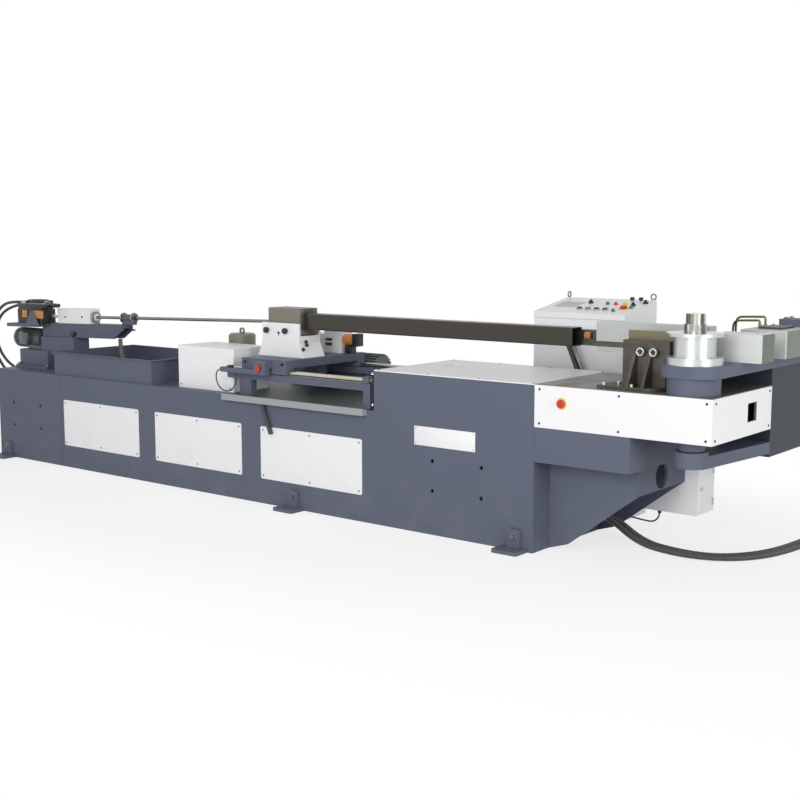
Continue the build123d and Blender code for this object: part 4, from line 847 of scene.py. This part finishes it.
    def stop_cable(self):
        """Cable that hangs in a loop from the arm of the stop box."""
        arm, box = stop_box_glands()
        points = [arm + Vector((x, 0, z)) for x, z in self.stop_turns]
        points.append(box - self.gap * Z)
        thing = settle(run_of("stop_cable", points, 0.004), "carriage", "rubber",
                       ("estop_cable",))
        length_of(read_line("look", points, 24))


def corrugated(name, line, crest, valley, pitch):
    """Ribbed tube that follows the points of a line."""
    ribs = round(length_of(line) / pitch)
    stations = [(rib + step) / ribs for rib in range(ribs) for step in (0.0, 0.25, 0.55, 0.8)]
    shape = Shape()
    shape.swept(line, stations + [1.0], [valley, crest, crest, valley] * ribs + [valley], 14)
    return shape.piece(name, "frame", "conduit")


class BENDER_OT_fasteners(bpy.types.Operator):
    """Screw on the sheet covers, bolt the feet and lay the weld beads"""

    bl_idname = "bender.fasteners"
    bl_label = "Fasteners"

    inset = 0.022
    panel_first = 1.588
    panel_pitch = 0.997
    panel_half = 0.413
    nose_screws = (0.030, 0.490, 0.955)
    cover_screws = (0.02, 0.34, 0.66, 0.98)
    feet = (-4.690, -1.720, -0.110)
    foot_lug = 0.020
    foot_bolt_z = 0.078
    bolt_head = 0.014
    tower_bolts = (0.026, 0.385)
    tower_plate = 0.020
    seam = 0.767
    tray_rim = 0.014
    plate_x = (-0.790, -0.373)
    plate_z = (0.500, 0.608)
    plate_sheet = 0.0016
    rod_z = 0.672
    rod_length = 0.222
    rod_nuts = (0.692, 0.872)

    def execute(self, context):
        sizes = context.scene.bender_sizes
        self.sheet_screws(sizes.sheet_screw)
        self.foot_bolts(sizes.foot_bolt)
        self.weld_beads()
        self.bare_plate()
        self.side_rod()
        return {"FINISHED"}

    def sheet_screws(self, r):
        """Dark screws along the edges of the white sheets."""
        shape = Shape()
        low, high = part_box("access_panels")
        reach = self.panel_half - self.inset
        xs = [HEAD_X - self.panel_first - number * self.panel_pitch + side * reach
              for number in range(3) for side in (-1, 0, 1)]
        for place in grid(xs, (low.y,), inside(low.z, high.z, self.inset)):
            shape.pan_screw(facing(place, -Y), r)
        low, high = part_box("nose_panels")
        for z in inside(low.z, high.z, self.inset):
            for x in self.nose_screws:
                shape.pan_screw(facing(spot(x, 0, z), -Y), 1.2 * r)
            for y in (low.y + 0.035, high.y - 0.030):
                shape.pan_screw(facing((high.x, y, z), X), 1.2 * r)
        low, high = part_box("head_cover")
        for y in inside(low.y, high.y, self.inset):
            for share in self.cover_screws:
                x = low.x + share * (high.x - low.x)
                shape.pan_screw(facing((x, y, high.z), Z), r)
        low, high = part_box("drive_cover")
        for x in inside(low.x, high.x, 0.03):
            shape.pan_screw(facing((x, low.y, low.z + self.inset), -Y), r)
        shape.piece("sheet_screws", "frame", "blued")

    def foot_bolts(self, across):
        """Hexagon bolts that hold the feet and the tail tower to the bed."""
        shape = Shape()
        for x in self.feet:
            for y, way in ((FRONT_Y - self.foot_lug, -Y), (REAR_Y + self.foot_lug, Y)):
                place = Vector((HEAD_X + x, y, self.foot_bolt_z))
                shape.hex_bolt(facing(place, way), across, self.bolt_head)
        low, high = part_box("tail_tower")
        xs = [TAIL_X + x for x in self.tower_bolts]
        for place in grid(xs, inside(low.y, high.y, 0.020), (BED_Z + self.tower_plate,)):
            shape.hex_bolt(facing(place, Z), 0.022, self.bolt_head)
        shape.piece("frame_bolts", "frame", "bolt")

    def weld_beads(self):
        """Beads at the joint of the bed sections, round the oil tray and down the nose support."""
        shape = Shape()
        x = TAIL_X + self.seam
        runs = [((x, y, 0.012), (x, y, BED_Z - 0.010)) for y in (FRONT_Y, REAR_Y)]
        low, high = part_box("oil_tray")
        left, right = inside(low.x, high.x, self.tray_rim)
        front, rear = inside(low.y, high.y, self.tray_rim)
        runs += [((left, y, BED_Z), (right, y, BED_Z)) for y in (front, rear)]
        runs += [((x, front, BED_Z), (x, rear, BED_Z)) for x in (left, right)]
        for start, end in runs:
            shape.bead(start, end, 0.007, 0.003)
        low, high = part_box("nose_support")
        shape.bead((HEAD_X, low.y, low.z + 0.5), (HEAD_X, low.y, high.z - 0.004), 0.006, 0.003)
        shape.piece("weld_beads", "frame", "slate")

    def bare_plate(self):
        """Blank white plate with four rivets on the head."""
        front = FRONT_Y - self.plate_sheet
        left, right = (HEAD_X + x for x in self.plate_x)
        low, high = self.plate_z
        shape = Shape()
        shape.block((left, front, low), (right, FRONT_Y, high), 0.0006)
        shape.piece("bare_plate", "frame", "white")
        shape = Shape()
        for place in grid(inside(left, right, 0.012), (front,), inside(low, high, 0.012)):
            shape.pan_screw(facing(place, -Y), 0.0045)
        shape.piece("plate_rivets", "frame", "steel")

    def side_rod(self):
        """Dark rod with bright nuts on the side wall of the head."""
        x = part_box("head_cover")[0].x - 0.018
        y = FRONT_Y + 0.012
        r = 0.0045
        shape = Shape()
        nuts = Shape()
        shape.turned(facing((x, y, self.rod_z), Z),
                     [(0, 0), (r, 0), (r, self.rod_length), (0, self.rod_length)], 14)
        for z in self.rod_nuts:
            nuts.hex_bolt(facing((x, y, z), Z), 0.014, 0.010)
            shape.block((x - 0.002, y - 0.006, z - 0.004), (x + 0.018, y + 0.006, z), 0.001)
        shape.piece("side_rod", "frame", "blued")
        nuts.piece("side_rod_nuts", "frame", "chrome")


class BENDER_OT_head(bpy.types.Operator):
    """Fit the stop ring, the wiper bolts, the white box's fittings and the cover's grip lips"""

    bl_idname = "bender.head"
    bl_label = "Head fittings"

    stop_x = 0.163
    stop_z = 0.810
    ring_r = 0.030
    wiper_bolts = (0.530, 0.601)
    wiper_bolt_z = 1.088
    ring_seat = 0.022
    plate_screws = ((0.406, 0.152), (0.514, 0.082), (0.360, 0.082), (0.370, 0.302), (0.630, 0.182))
    holder_plate = 0.015
    spare_glands = ((0.36, 0.10), (0.42, 0.10))
    grip_x = -0.860
    grip_y = 0.480
    grip_half = 0.070
    lip_y = 0.0215

    def execute(self, context):
        stop_ring("nose_stop_ring", facing(spot(self.stop_x, 0, self.stop_z), -Y), self.ring_r)
        self.wiper_bolts_and_screws()
        self.junction_fittings()
        self.grip_lips()
        return {"FINISHED"}

    def wiper_bolts_and_screws(self):
        """Two ring bolts with dark sockets in the holder, and the screws of its base plate."""
        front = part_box("wiper_die")[0].y - 0.055
        plate_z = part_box("wiper_holder")[0].z + self.holder_plate
        places = [Vector((HEAD_X + x, front, self.wiper_bolt_z)) for x in self.wiper_bolts]
        seat = self.ring_seat
        shape = Shape()
        for place in places:
            shape.turned(facing(place, -Y),
                         [(0, 0), (0.010, 0), (0.010, 0.018), (0.0225, 0.018), (0.0225, 0.029),
                          (0.0205, 0.032), (0.0150, 0.032), (0.0128, 0.029), (0.0128, seat),
                          (0, seat)], 32)
        for x, y in self.plate_screws:
            shape.cap_screw(facing(spot(x, y, plate_z), Z), 0.012, 0.014)
        shape.piece("wiper_bolts", "frame", "chrome")
        shape = Shape()
        for place in places:
            shape.turned(facing(place - seat * Y, -Y),
                         [(0, 0), (0.0126, 0), (0.0126, 0.003), (0.0075, 0.003), (0.0065, 0.0015),
                          (0, 0.0015)], 6)
        shape.piece("wiper_bolt_sockets", "frame", "blued")

    def junction_fittings(self):
        """Hinges, lock and cable glands of the white box."""
        low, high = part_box("junction_box")
        shape = Shape()
        for z in inside(low.z, high.z, 0.055):
            shape.post(facing((high.x + 0.002, high.y - 0.020, z - 0.02), Z), 0.006, 0.040, 14)
        shape.turned(facing((high.x, low.y + 0.032, (low.z + high.z) / 2), X),
                     [(0, 0), (0.011, 0), (0.011, 0.004), (0.008, 0.007), (0.003, 0.007),
                      (0.003, 0.003), (0, 0.003)], 20)
        shape.piece("junction_lock", "frame", "steel")
        shape = Shape()
        places = [spot(BOX_CABLE_X, BOX_CABLE_Y, low.z)]
        places += [low + Vector((x, y, 0)) for x, y in self.spare_glands]
        for place in places:
            shape.collar(facing(place, -Z), 0.0048, 0.011, 0.016, (0.003, 0.006), 16)
        shape.piece("junction_glands", "frame", "black")

    def grip_lips(self):
        """Turned lips inside the grip slot of the head cover."""
        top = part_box("head_cover")[1].z
        shape = Shape()
        for side in (-1, 1):
            middle = spot(self.grip_x, self.grip_y + side * self.lip_y, top)
            shape.block(middle - Vector((self.grip_half, 0.001, 0.020)),
                        middle + Vector((self.grip_half, 0.001, -0.001)), 0.0004)
        shape.piece("grip_lips", "frame", "white")


class BENDER_OT_tooling(bpy.types.Operator):
    """Fit the pressure die's coil, the pipes of the arm and the console, and the clamp's screws"""

    bl_idname = "bender.tooling"
    bl_label = "Tooling fittings"

    coil = Vector((0.064, 0.0135, 0.097))
    coil_ends = (-0.008, 0.036)
    console_runs = (
        ("console_pipe_black", 0.014, "black", "black_plastic", (-0.195, -0.240, -0.289, -0.330)),
        ("console_pipe_grey", 0.011, "bolt", "machined_steel", (-0.155, -0.211, -0.254, -0.295)))
    console_mid = 0.058
    console_front = 0.128
    pipe_z = (0.780, 0.907, 1.016, 1.082)
    arm_foot = 0.029
    arm_plate = 0.060
    arm_pipe_r = 0.006
    arm_runs = ((0.848, 0.000, 0.177), (0.883, 0.018, 0.193))

    def execute(self, context):
        self.assist_coil()
        self.console_pipes()
        self.arm_pipes()
        self.clamp_screws()
        return {"FINISHED"}

    def assist_coil(self):
        """Orange coil with black ends on the assist block."""
        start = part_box("pressure_slide")[0] + self.coil
        shape = Shape()
        shape.barrel(facing(start, X), 0.0205, 0.036, 0.001, 28)
        shape.piece("assist_coil", "pressure_table", "coil")
        shape = Shape()
        for along in self.coil_ends:
            shape.barrel(facing(start + along * X, X), 0.017, 0.008, 0.001, 24)
        shape.piece("assist_coil_ends", "pressure_table", "black")

    def console_pipes(self):
        """Bent pipes from the rear wall of the head up into the front of the console."""
        mid = REAR_Y + self.console_mid
        front = REAR_Y + self.console_front
        base, lower, upper, crown = self.pipe_z
        for name, r, finish, slot, xs in self.console_runs:
            foot, low, high, top = (HEAD_X + x for x in xs)
            points = [Vector(place) for place in (
                (foot, REAR_Y, base), (foot, mid - 0.010, base), (foot - 0.004, mid, base + 0.035),
                (low, mid, lower), (high, mid, upper), (top + 0.022, mid, crown - 0.026),
                (top + 0.004, mid + 0.006, crown - 0.004), (top, mid + 0.040, crown),
                (top, front, crown))]
            shape = Shape()
            shape.pipe(points, r)
            for end, way in ((points[0], Y), (points[-1], -Y)):
                shape.collar(facing(end, way), r, 1.7 * r, 0.014, (0.1 * r, 0.002), 6)
            shape.piece(name, "frame", finish)

    def arm_pipes(self):
        """Hydraulic pipes from the arm's plate up to the clamp cylinder."""
        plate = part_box("arm_top_plate")[0] + self.arm_plate * Z
        foot, r = self.arm_foot, self.arm_pipe_r
        shape = Shape()
        nuts = Shape()
        for y, lift, reach in self.arm_runs:
            points = [plate + Vector((x, y, z)) for x, z in (
                (foot, 0), (foot, 0.090), (foot, 0.152 + lift), (foot + 0.018, 0.170 + lift),
                (foot + 0.052, 0.172 + lift), (reach - 0.026, 0.175 + lift),
                (reach - 0.004, 0.176 + lift), (reach, 0.166 + lift), (reach, 0.140))]
            shape.pipe(points, r)
            for place in (points[0], points[-1]):
                nuts.collar(facing(place, Z), r, 0.0105, 0.016, (0.0007, 0.002), 6)
        shape.piece("clamp_pipes", "arm", "brass")
        nuts.piece("clamp_pipe_nuts", "arm", "bolt")

    def clamp_screws(self):
        """Cap screws of the stop block and the clamp cylinder."""
        low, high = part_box("clamp_cylinder")
        block_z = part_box("arm_top_plate")[1].z
        shape = Shape()
        for place in grid((low.x + 0.092, high.x - 0.030), (high.y + 0.032, high.y + 0.108),
                          (block_z,)):
            shape.cap_screw(facing(place, Z), 0.011, 0.010)
        for place in grid(inside(low.x, high.x, 0.076), (low.y + 0.099, low.y + 0.247), (high.z,)):
            shape.cap_screw(facing(place, Z), 0.006, 0.006)
        shape.piece("clamp_screws", "arm", "bolt")


class BENDER_OT_console(bpy.types.Operator):
    """Dress the sloping face of the console"""

    bl_idname = "bender.console"
    bl_label = "Console fittings"

    width = 0.610
    depth = 0.390
    face_rise = 0.068
    face_y = 0.120
    face_z = 1.214
    buttons = 4
    first = 0.258
    pitch = 0.057
    row = 0.098
    stop = (0.524, 0.146)
    stop_r = 0.034
    selectors = ((0.242, 0.262), (0.540, 0.233), (0.586, 0.300))
    lamps = ((0.363, 0.248, "green_cap"), (0.420, 0.245, "red"), (0.473, 0.256, "yellow"),
             (0.493, 0.077, "green_cap"), (0.560, 0.170, "green_cap"))
    knobs = ((0.462, 0.370), (0.520, 0.370))
    plate = (0.125, 0.205)
    plate_size = (0.150, 0.130)
    plate_sheet = 0.0015
    hinges = (0.40, 0.95)

    def execute(self, context):
        rise = math.atan2(self.face_rise, self.depth)
        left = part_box("console_cabinet")[0].x
        self.corner = Vector((left, REAR_Y + self.face_y, self.face_z))
        self.face = Matrix.Translation(self.corner) @ Matrix.Rotation(rise, 4, "X")
        self.bezels()
        self.extra_controls()
        self.trim()
        return {"FINISHED"}

    def at(self, x, y, z=0.0):
        """Place on the face, from its left front corner."""
        return self.face @ Matrix.Translation((x, y, z))

    def bezels(self):
        """Bright rings round the push buttons and the base of the stop button."""
        shape = Shape()
        for number in range(self.buttons):
            place = self.at(self.first + number * self.pitch, self.row)
            shape.collar(place, 0.0152, 0.0195, 0.006, (0.0015, 0.002), 28)
        shape.piece("button_bezels", "frame", "steel")
        stop_ring("console_stop_ring", self.at(*self.stop), self.stop_r)

    def extra_controls(self):
        """Selector switches, knobs and lamps."""
        shape = Shape()
        base = 0.010
        for x, y in self.selectors:
            place = self.at(x, y)
            shape.turned(place, [(0, 0), (0.016, 0), (0.016, 0.006), (0.013, base), (0, base)], 24)
            shape.slab(place @ Matrix.Translation((0, 0, base)), 0.008, 0.026, 0.012, 0.002)
        for x, y in self.knobs:
            shape.knob(self.at(x, y), 0.014, 0.020)
        shape.piece("selector_switches", "frame", "black")
        for number, (x, y, finish) in enumerate(self.lamps):
            shape = Shape()
            shape.turned(self.at(x, y), [(0, 0), (0.013, 0), (0.013, 0.004), (0.010, 0.006),
                                         (0.010, 0.012), (0.007, 0.016), (0, 0.018)], 24)
            shape.piece("console_lamp_" + str(number + 1), "frame", finish)

    def trim(self):
        """Blank plate with its screws, and the rear hinges."""
        shape = Shape()
        shape.slab(self.at(*self.plate), *self.plate_size, self.plate_sheet, 0.0005)
        shape.piece("console_blank_plate", "frame", "panel_grey")
        shape = Shape()
        x, y = self.plate
        for place in grid((x - 0.065, x + 0.065), (y - 0.055, y + 0.055), (self.plate_sheet,)):
            shape.pan_screw(self.at(*place), 0.004)
        for z in self.hinges:
            hinge = (self.corner.x + self.width - 0.001, self.corner.y + self.depth - 0.012, z)
            shape.post(facing(hinge, Z), 0.006, 0.070, 14)
        shape.piece("console_screws", "frame", "steel")


class BENDER_OT_carriage(bpy.types.Operator):
    """Dress the chuck skirt, its drive, the stop box and the rails"""

    bl_idname = "bender.carriage"
    bl_label = "Carriage fittings"

    front_knobs = (0.082, 0.244)
    front_knob_z = 0.1647
    pointer_x = 0.179
    pointer_z = 0.1467
    side_knobs = ((0.355, 0.0525, 0.0987, 0.0), (0.3615, 0.0525, 0.0747, 0.427),
                  (0.3718, 0.0095, 0.0507, 0.427))
    bar_x = 0.166
    bars = (0.0867, 0.0567)
    coil_y = 0.044
    coil_z = 0.088
    coil_length = 0.083
    plate_screws = (0.159, 0.477)
    rail_inset = 0.045
    rail_stop = 0.039
    sheet = 0.003
    sheet_left = -0.136
    sheet_height = 0.110
    sheet_screws = (0.134, 0.186, 1.156)
    sheet_screw_z = 0.076

    def execute(self, context):
        self.knobs()
        self.drive_coil()
        self.stop_box()
        self.plate_and_rails()
        self.splash_sheet()
        return {"FINISHED"}

    def knobs(self):
        """Black knobs on the skirt and its right side, a pointer, and two bars on the drive."""
        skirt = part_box("chuck_housing")[0]
        shape = Shape()
        for x in self.front_knobs:
            shape.knob(facing(skirt + Vector((x, 0, self.front_knob_z)), -Y), 0.019, 0.026)
        shape.prism(facing(skirt + Vector((self.pointer_x, 0, self.pointer_z)), -Y),
                    [(-0.012, 0.010), (0.012, 0.010), (0, -0.014)], 0.003, 0.0008)
        for x, y, z, lean in self.side_knobs:
            shape.knob(facing(skirt + Vector((x, y, z)), X + lean * Z), 0.011, 0.018)
        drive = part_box("chuck_drive")[0]
        for z in self.bars:
            place = facing(drive + Vector((self.bar_x, 0, z)), -Y)
            shape.slab(place, 0.056, 0.016, 0.010, 0.003)
        shape.piece("carriage_knobs", "carriage", "black")

    def drive_coil(self):
        """Orange coil and black body beside the chuck drive."""
        low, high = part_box("chuck_drive")
        left = high.x
        right = left + self.coil_length
        y = low.y + self.coil_y
        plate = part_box("carriage_plate")[1].z
        z = plate + self.coil_z
        shape = Shape()
        shape.barrel(facing((left, y, z), X), 0.036, self.coil_length, 0.003, 32)
        shape.piece("drive_coil", "carriage", "orange")
        shape = Shape()
        shape.block((right, y - 0.034, z - 0.040), (right + 0.042, y + 0.034, z + 0.042), 0.004)
        shape.block((left + 0.020, y - 0.030, plate), (left + 0.068, y + 0.030, z - 0.0355), 0.003)
        for across in (-0.020, 0.020):
            shape.cap_screw(facing((right + 0.042, y + across, z + 0.026), X), 0.005, 0.005)
        shape.piece("drive_coil_body", "carriage", "black")

    def stop_box(self):
        """Glands of the stop box and the plug on its arm."""
        arm, box = stop_box_glands()
        bore = 0.0042
        shape = Shape()
        shape.collar(facing(arm, (-0.032, 0, -0.003)), 0.0048, 0.012, 0.012, (0.003, 0.005), 20)
        shape.turned(facing(box, -Z), [(bore, 0), (0.010, 0), (0.010, 0.006), (bore, 0.008),
                                       (bore, 0)], 20)
        plug = box + Vector((-0.049, 0, 0.030))
        shape.block(plug - Vector((0.016, 0.012, 0)), plug + Vector((0.016, 0.012, 0.014)), 0.003)
        shape.block(plug - Vector((0.030, 0.007, 0)), plug + Vector((-0.014, 0.007, 0.009)), 0.002)
        shape.piece("stop_box_glands", "carriage", "black")

    def plate_and_rails(self):
        """Screws in the front edge of the carriage's plate, and the stops of its rails."""
        low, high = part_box("carriage_plate")
        shape = Shape()
        for x in self.plate_screws:
            place = Vector((low.x + x, FRONT_Y + 0.010, high.z - 0.024))
            shape.cap_screw(facing(place, -Y), 0.010, 0.008)
        shape.piece("carriage_screws", "carriage", "blued")
        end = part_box("rail_beams")[1]
        top = end.z + self.rail_stop
        shape = Shape()
        for y in inside(FRONT_Y, REAR_Y, self.rail_inset):
            shape.block((end.x - 0.062, y - 0.024, end.z), (end.x - 0.012, y + 0.024, top), 0.004)
            shape.cap_screw(facing((end.x - 0.037, y, top), Z), 0.008, 0.008)
        shape.piece("rail_stops", "frame", "slate")

    def splash_sheet(self):
        """Upright sheet behind the rear rail beam that keeps drips on the tray."""
        low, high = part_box("rail_beams")
        left = low.x + self.sheet_left
        front = high.y + 0.0003
        back = front + self.sheet
        shape = Shape()
        shape.block((left, front, BED_Z), (high.x, back, BED_Z + self.sheet_height), 0.0008)
        shape.block((left, back, BED_Z), (high.x, back + 0.013, BED_Z + self.sheet), 0.0008)
        shape.piece("splash_sheet", "frame", "slate")
        shape = Shape()
        for x in self.sheet_screws:
            shape.pan_screw(facing((low.x + x, back, BED_Z + self.sheet_screw_z), Y), 0.007)
        shape.piece("splash_screws", "frame", "bolt")


class BENDER_OT_tail(bpy.types.Operator):
    """Dress the mandrel cylinder with its valves, rings and gusset, and the tail motor"""

    bl_idname = "bender.tail"
    bl_label = "Tail fittings"

    coils = ((0.118, 0.178), (0.258, 0.376))
    coil_z = (1.046, 1.104)
    bodies = ((0.060, 0.348, 0.001, 0.086, 1.102, 1.128),
              (0.056, 0.408, -0.004, 0.090, 1.126, 1.152))
    nose_x = 0.408
    nose_z = 1.146
    bracket = (0.600, 0.648)
    bracket_z = (0.928, 0.956)
    pipe_turns = ((0.110, 1.150), (0.110, 1.166), (0.130, 1.176), (0.270, 1.181), (0.370, 1.182),
                  (0.390, 1.174), (0.390, 1.150))
    gusset_outline = ((-0.168, 0.990), (-0.337, 0.994), (-0.264, 1.100), (-0.232, 1.100))
    rod_bore = 0.0252
    crosshead_ring = 0.062
    bush_rings = (0.382, 0.493)
    crosshead_screws = ((0.519, 1.060), (0.717, 1.068))
    crosshead_half = 0.045
    motor_axis = 0.080
    cowl_bore = 0.058

    def execute(self, context):
        self.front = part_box("mandrel_cylinder")[0].y
        self.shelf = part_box("mandrel_beam")[0].y
        self.valves()
        self.gusset()
        self.rod_rings()
        self.motor_parts()
        return {"FINISHED"}

    def valves(self):
        """Orange coils, black valve bodies, the bracket under the beam and an olive pipe."""
        front, shelf = self.front, self.shelf
        coils = [(TAIL_X + left, TAIL_X + right) for left, right in self.coils]
        low, high = self.coil_z
        shape = Shape()
        for left, right in coils:
            shape.block((left, shelf + 0.0008, low), (right, front + 0.004, high), 0.003)
        shape.piece("valve_coils", "frame", "coil")
        shape = Shape()
        for left, right, near, far, under, over in self.bodies:
            shape.block((TAIL_X + left, front + near, under), (TAIL_X + right, front + far, over),
                        0.004)
        for left, _ in coils:
            shape.block((left - 0.016, shelf + 0.0016, low - 0.006), (left, front + 0.004, high),
                        0.002)
        shape.turned(facing((TAIL_X + self.nose_x, front + 0.043, self.nose_z), X),
                     [(0, 0), (0.016, 0), (0.016, 0.070), (0.013, 0.072), (0.013, 0.078),
                      (0.015, 0.080), (0.015, 0.104), (0.013, 0.107), (0, 0.107)], 28)
        left, right = (TAIL_X + x for x in self.bracket)
        low, high = self.bracket_z
        shape.block((left, TUBE.y - 0.072, low), (right, TUBE.y - 0.0495, high), 0.004)
        shape.knob(facing(((left + right) / 2, TUBE.y - 0.061, low), -Z), 0.009, 0.016)
        shape.piece("valve_bodies", "frame", "black")
        shape = Shape()
        shape.pipe([Vector((TAIL_X + x, front + 0.050, z)) for x, z in self.pipe_turns], 0.007)
        shape.piece("tail_pipe", "frame", "brass")

    def gusset(self):
        """Four cornered plate on the front edge of the shelf."""
        shape = Shape()
        turn = Matrix(((-1, 0, 0, TAIL_X), (0, 0, -1, self.shelf - 0.0003), (0, 1, 0, 0),
                       (0, 0, 0, 1)))
        shape.prism(turn, self.gusset_outline, 0.006, 0.001)
        shape.piece("shelf_gusset", "frame", "slate")

    def rod_rings(self):
        """Lock rings on the crosshead's collar and the guide bush, and the crosshead's screws."""
        way = on_mandrel(1.0) - on_mandrel(0.0)
        shape = Shape()
        place = facing(on_mandrel(self.crosshead_ring), way)
        shape.lock_ring(place, self.rod_bore, 0.042, 0.014, 0.002, 32)
        shape.piece("crosshead_ring", "mandrel", "rod")
        shape = Shape()
        for along in self.bush_rings:
            place = facing(on_mandrel(along), way)
            shape.lock_ring(place, self.rod_bore, 0.038, 0.012, 0.002, 32)
        shape.piece("bush_rings", "frame", "rod")
        shape = Shape()
        for x, z in self.crosshead_screws:
            place = Vector((TAIL_X + x, TUBE.y - self.crosshead_half, z))
            shape.pan_screw(facing(place, -Y), 0.008)
        shape.piece("crosshead_screws", "mandrel", "blued")

    def motor_parts(self):
        """Fan cowl and terminal box of the tail motor."""
        low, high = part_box("tail_motor")
        y = (low.y + high.y) / 2
        z = low.z + self.motor_axis
        bore = self.cowl_bore
        shape = Shape()
        shape.turned(facing((low.x + 0.040, y, z), -X),
                     [(bore, 0), (0.078, 0), (0.078, 0.020), (0.072, 0.030), (0.060, 0.036),
                      (bore, 0.036), (bore, 0)], 32)
        shape.block((low.x + 0.130, y - 0.105, z - 0.040),
                    (low.x + 0.230, y - 0.062, z + 0.050), 0.008)
        shape.piece("motor_boxes", "frame", "green")


class BENDER_OT_stage(bpy.types.Operator):
    """Set up the pale floor, the light and the camera"""

    bl_idname = "bender.stage"
    bl_label = "Stage"

    eye = (5.847, -5.805, 1.662)
    turn = (math.radians(82.46), 0.0, math.radians(38.67))
    lens = 55.94
    floor_r = 60.0
    floor_z = -0.001
    soft_light = 0.46
    lamps = (("key_lamp", (3.8, -9.8, 3.8), (0.4, 0.0, 0.6), 5.0, 520),
             ("side_lamp", (9.6, -2.2, 2.5), (2.9, 0.0, 0.8), 3.0, 190))

    def execute(self, context):
        scene = context.scene
        scene.view_settings.view_transform = "Standard"
        self.camera(scene)
        self.floor(scene)
        self.world(scene)
        for name, place, target, size, power in self.lamps:
            self.lamp(scene, name, place, target, size, power)
        return {"FINISHED"}

    def camera(self, scene):
        """Camera that looks past the head end along the front of the machine."""
        data = bpy.data.cameras.new("camera")
        data.lens = self.lens
        data.sensor_width = 36.0
        data.clip_end = 200.0
        camera = bpy.data.objects.new("camera", data)
        camera.location = self.eye
        camera.rotation_euler = self.turn
        scene.collection.objects.link(camera)
        scene.camera = camera

    def floor(self, scene):
        """Pale floor that keeps the shadow near the machine and fades to white."""
        mesh = bmesh.new()
        bmesh.ops.create_circle(mesh, cap_ends=True, segments=96, radius=self.floor_r,
                                matrix=Matrix.Translation((0, 0, self.floor_z)))
        data = bpy.data.meshes.new("floor")
        mesh.to_mesh(data)
        mesh.free()
        thing = bpy.data.objects.new("floor", data)
        scene.collection.objects.link(thing)
        finish = Finish("floor_paper", 0.9, specular=0.0)
        paper = finish.blend(finish.noise(60.0) * 0.2, (0.90, 0.90, 0.90), (0.87, 0.87, 0.87))
        finish.put(finish.shader.inputs["Base Color"], paper)
        glow = finish.node("ShaderNodeEmission", {}, {"Color": (1, 1, 1, 1), "Strength": 1.0})
        flat = finish.node("ShaderNodeMapping", {}, {"Vector": finish.coordinates,
                                                     "Scale": (0.3, 0.8, 0)})
        reach = finish.node("ShaderNodeVectorMath", {"operation": "LENGTH"}, {0: flat.outputs[0]})
        far = Level(finish, reach.outputs["Value"]).above(0.9, 2.2)
        white = finish.background() * (far * 0.25 + 0.75)
        mixed = finish.node("ShaderNodeMixShader", {}, {0: white, 1: finish.shader.outputs[0],
                                                        2: glow.outputs[0]})
        finish.put(finish.tree.nodes["Material Output"].inputs["Surface"], mixed.outputs[0])
        data.materials.append(finish.material)

    def world(self, scene):
        """White surroundings that light the machine softly."""
        world = bpy.data.worlds.new("studio")
        world.use_nodes = True
        scene.world = world
        studio = Nodes(world.node_tree)
        sky = world.node_tree.nodes["Background"]
        sky.inputs["Color"].default_value = (1, 1, 1, 1)
        strength = studio.background() * (1 - self.soft_light) + self.soft_light
        studio.put(sky.inputs["Strength"], strength)

    def lamp(self, scene, name, place, target, size, power):
        """Soft square lamp that looks at a target."""
        data = bpy.data.lights.new(name, "AREA")
        data.size = size
        data.energy = power
        thing = bpy.data.objects.new(name, data)
        thing.location = place
        thing.rotation_euler = (Vector(target) - Vector(place)).to_track_quat("-Z", "Y").to_euler()
        scene.collection.objects.link(thing)


class BENDER_PT_panel(bpy.types.Panel):
    """Lists the steps that dress the machine"""

    bl_idname = "BENDER_PT_panel"
    bl_label = "Tube bender"
    bl_space_type = "VIEW_3D"
    bl_region_type = "UI"
    bl_category = "Bender"

    def draw(self, context):
        layout = self.layout
        for group in (context.scene.bender_colours, context.scene.bender_sizes):
            for name in group.bl_rna.properties.keys():
                if name not in ("rna_type", "name"):
                    layout.prop(group, name)
        for step in STEPS:
            layout.operator(step.bl_idname)


STEPS = (BENDER_OT_finishes, BENDER_OT_stage, BENDER_OT_cords, BENDER_OT_fasteners, BENDER_OT_head,
         BENDER_OT_tooling, BENDER_OT_console, BENDER_OT_carriage, BENDER_OT_tail)
CLASSES = (BENDER_PG_colours, BENDER_PG_sizes, *STEPS, BENDER_PT_panel)


def register():
    for item in CLASSES:
        bpy.utils.register_class(item)
    bpy.types.Scene.bender_colours = bpy.props.PointerProperty(type=BENDER_PG_colours)
    bpy.types.Scene.bender_sizes = bpy.props.PointerProperty(type=BENDER_PG_sizes)


def unregister():
    del bpy.types.Scene.bender_sizes
    del bpy.types.Scene.bender_colours
    for item in reversed(CLASSES):
        bpy.utils.unregister_class(item)


def main():
    register()
    for step in STEPS:
        group, action = step.bl_idname.split(".")
        getattr(getattr(bpy.ops, group), action)()


if __name__ == "__main__":
    main()
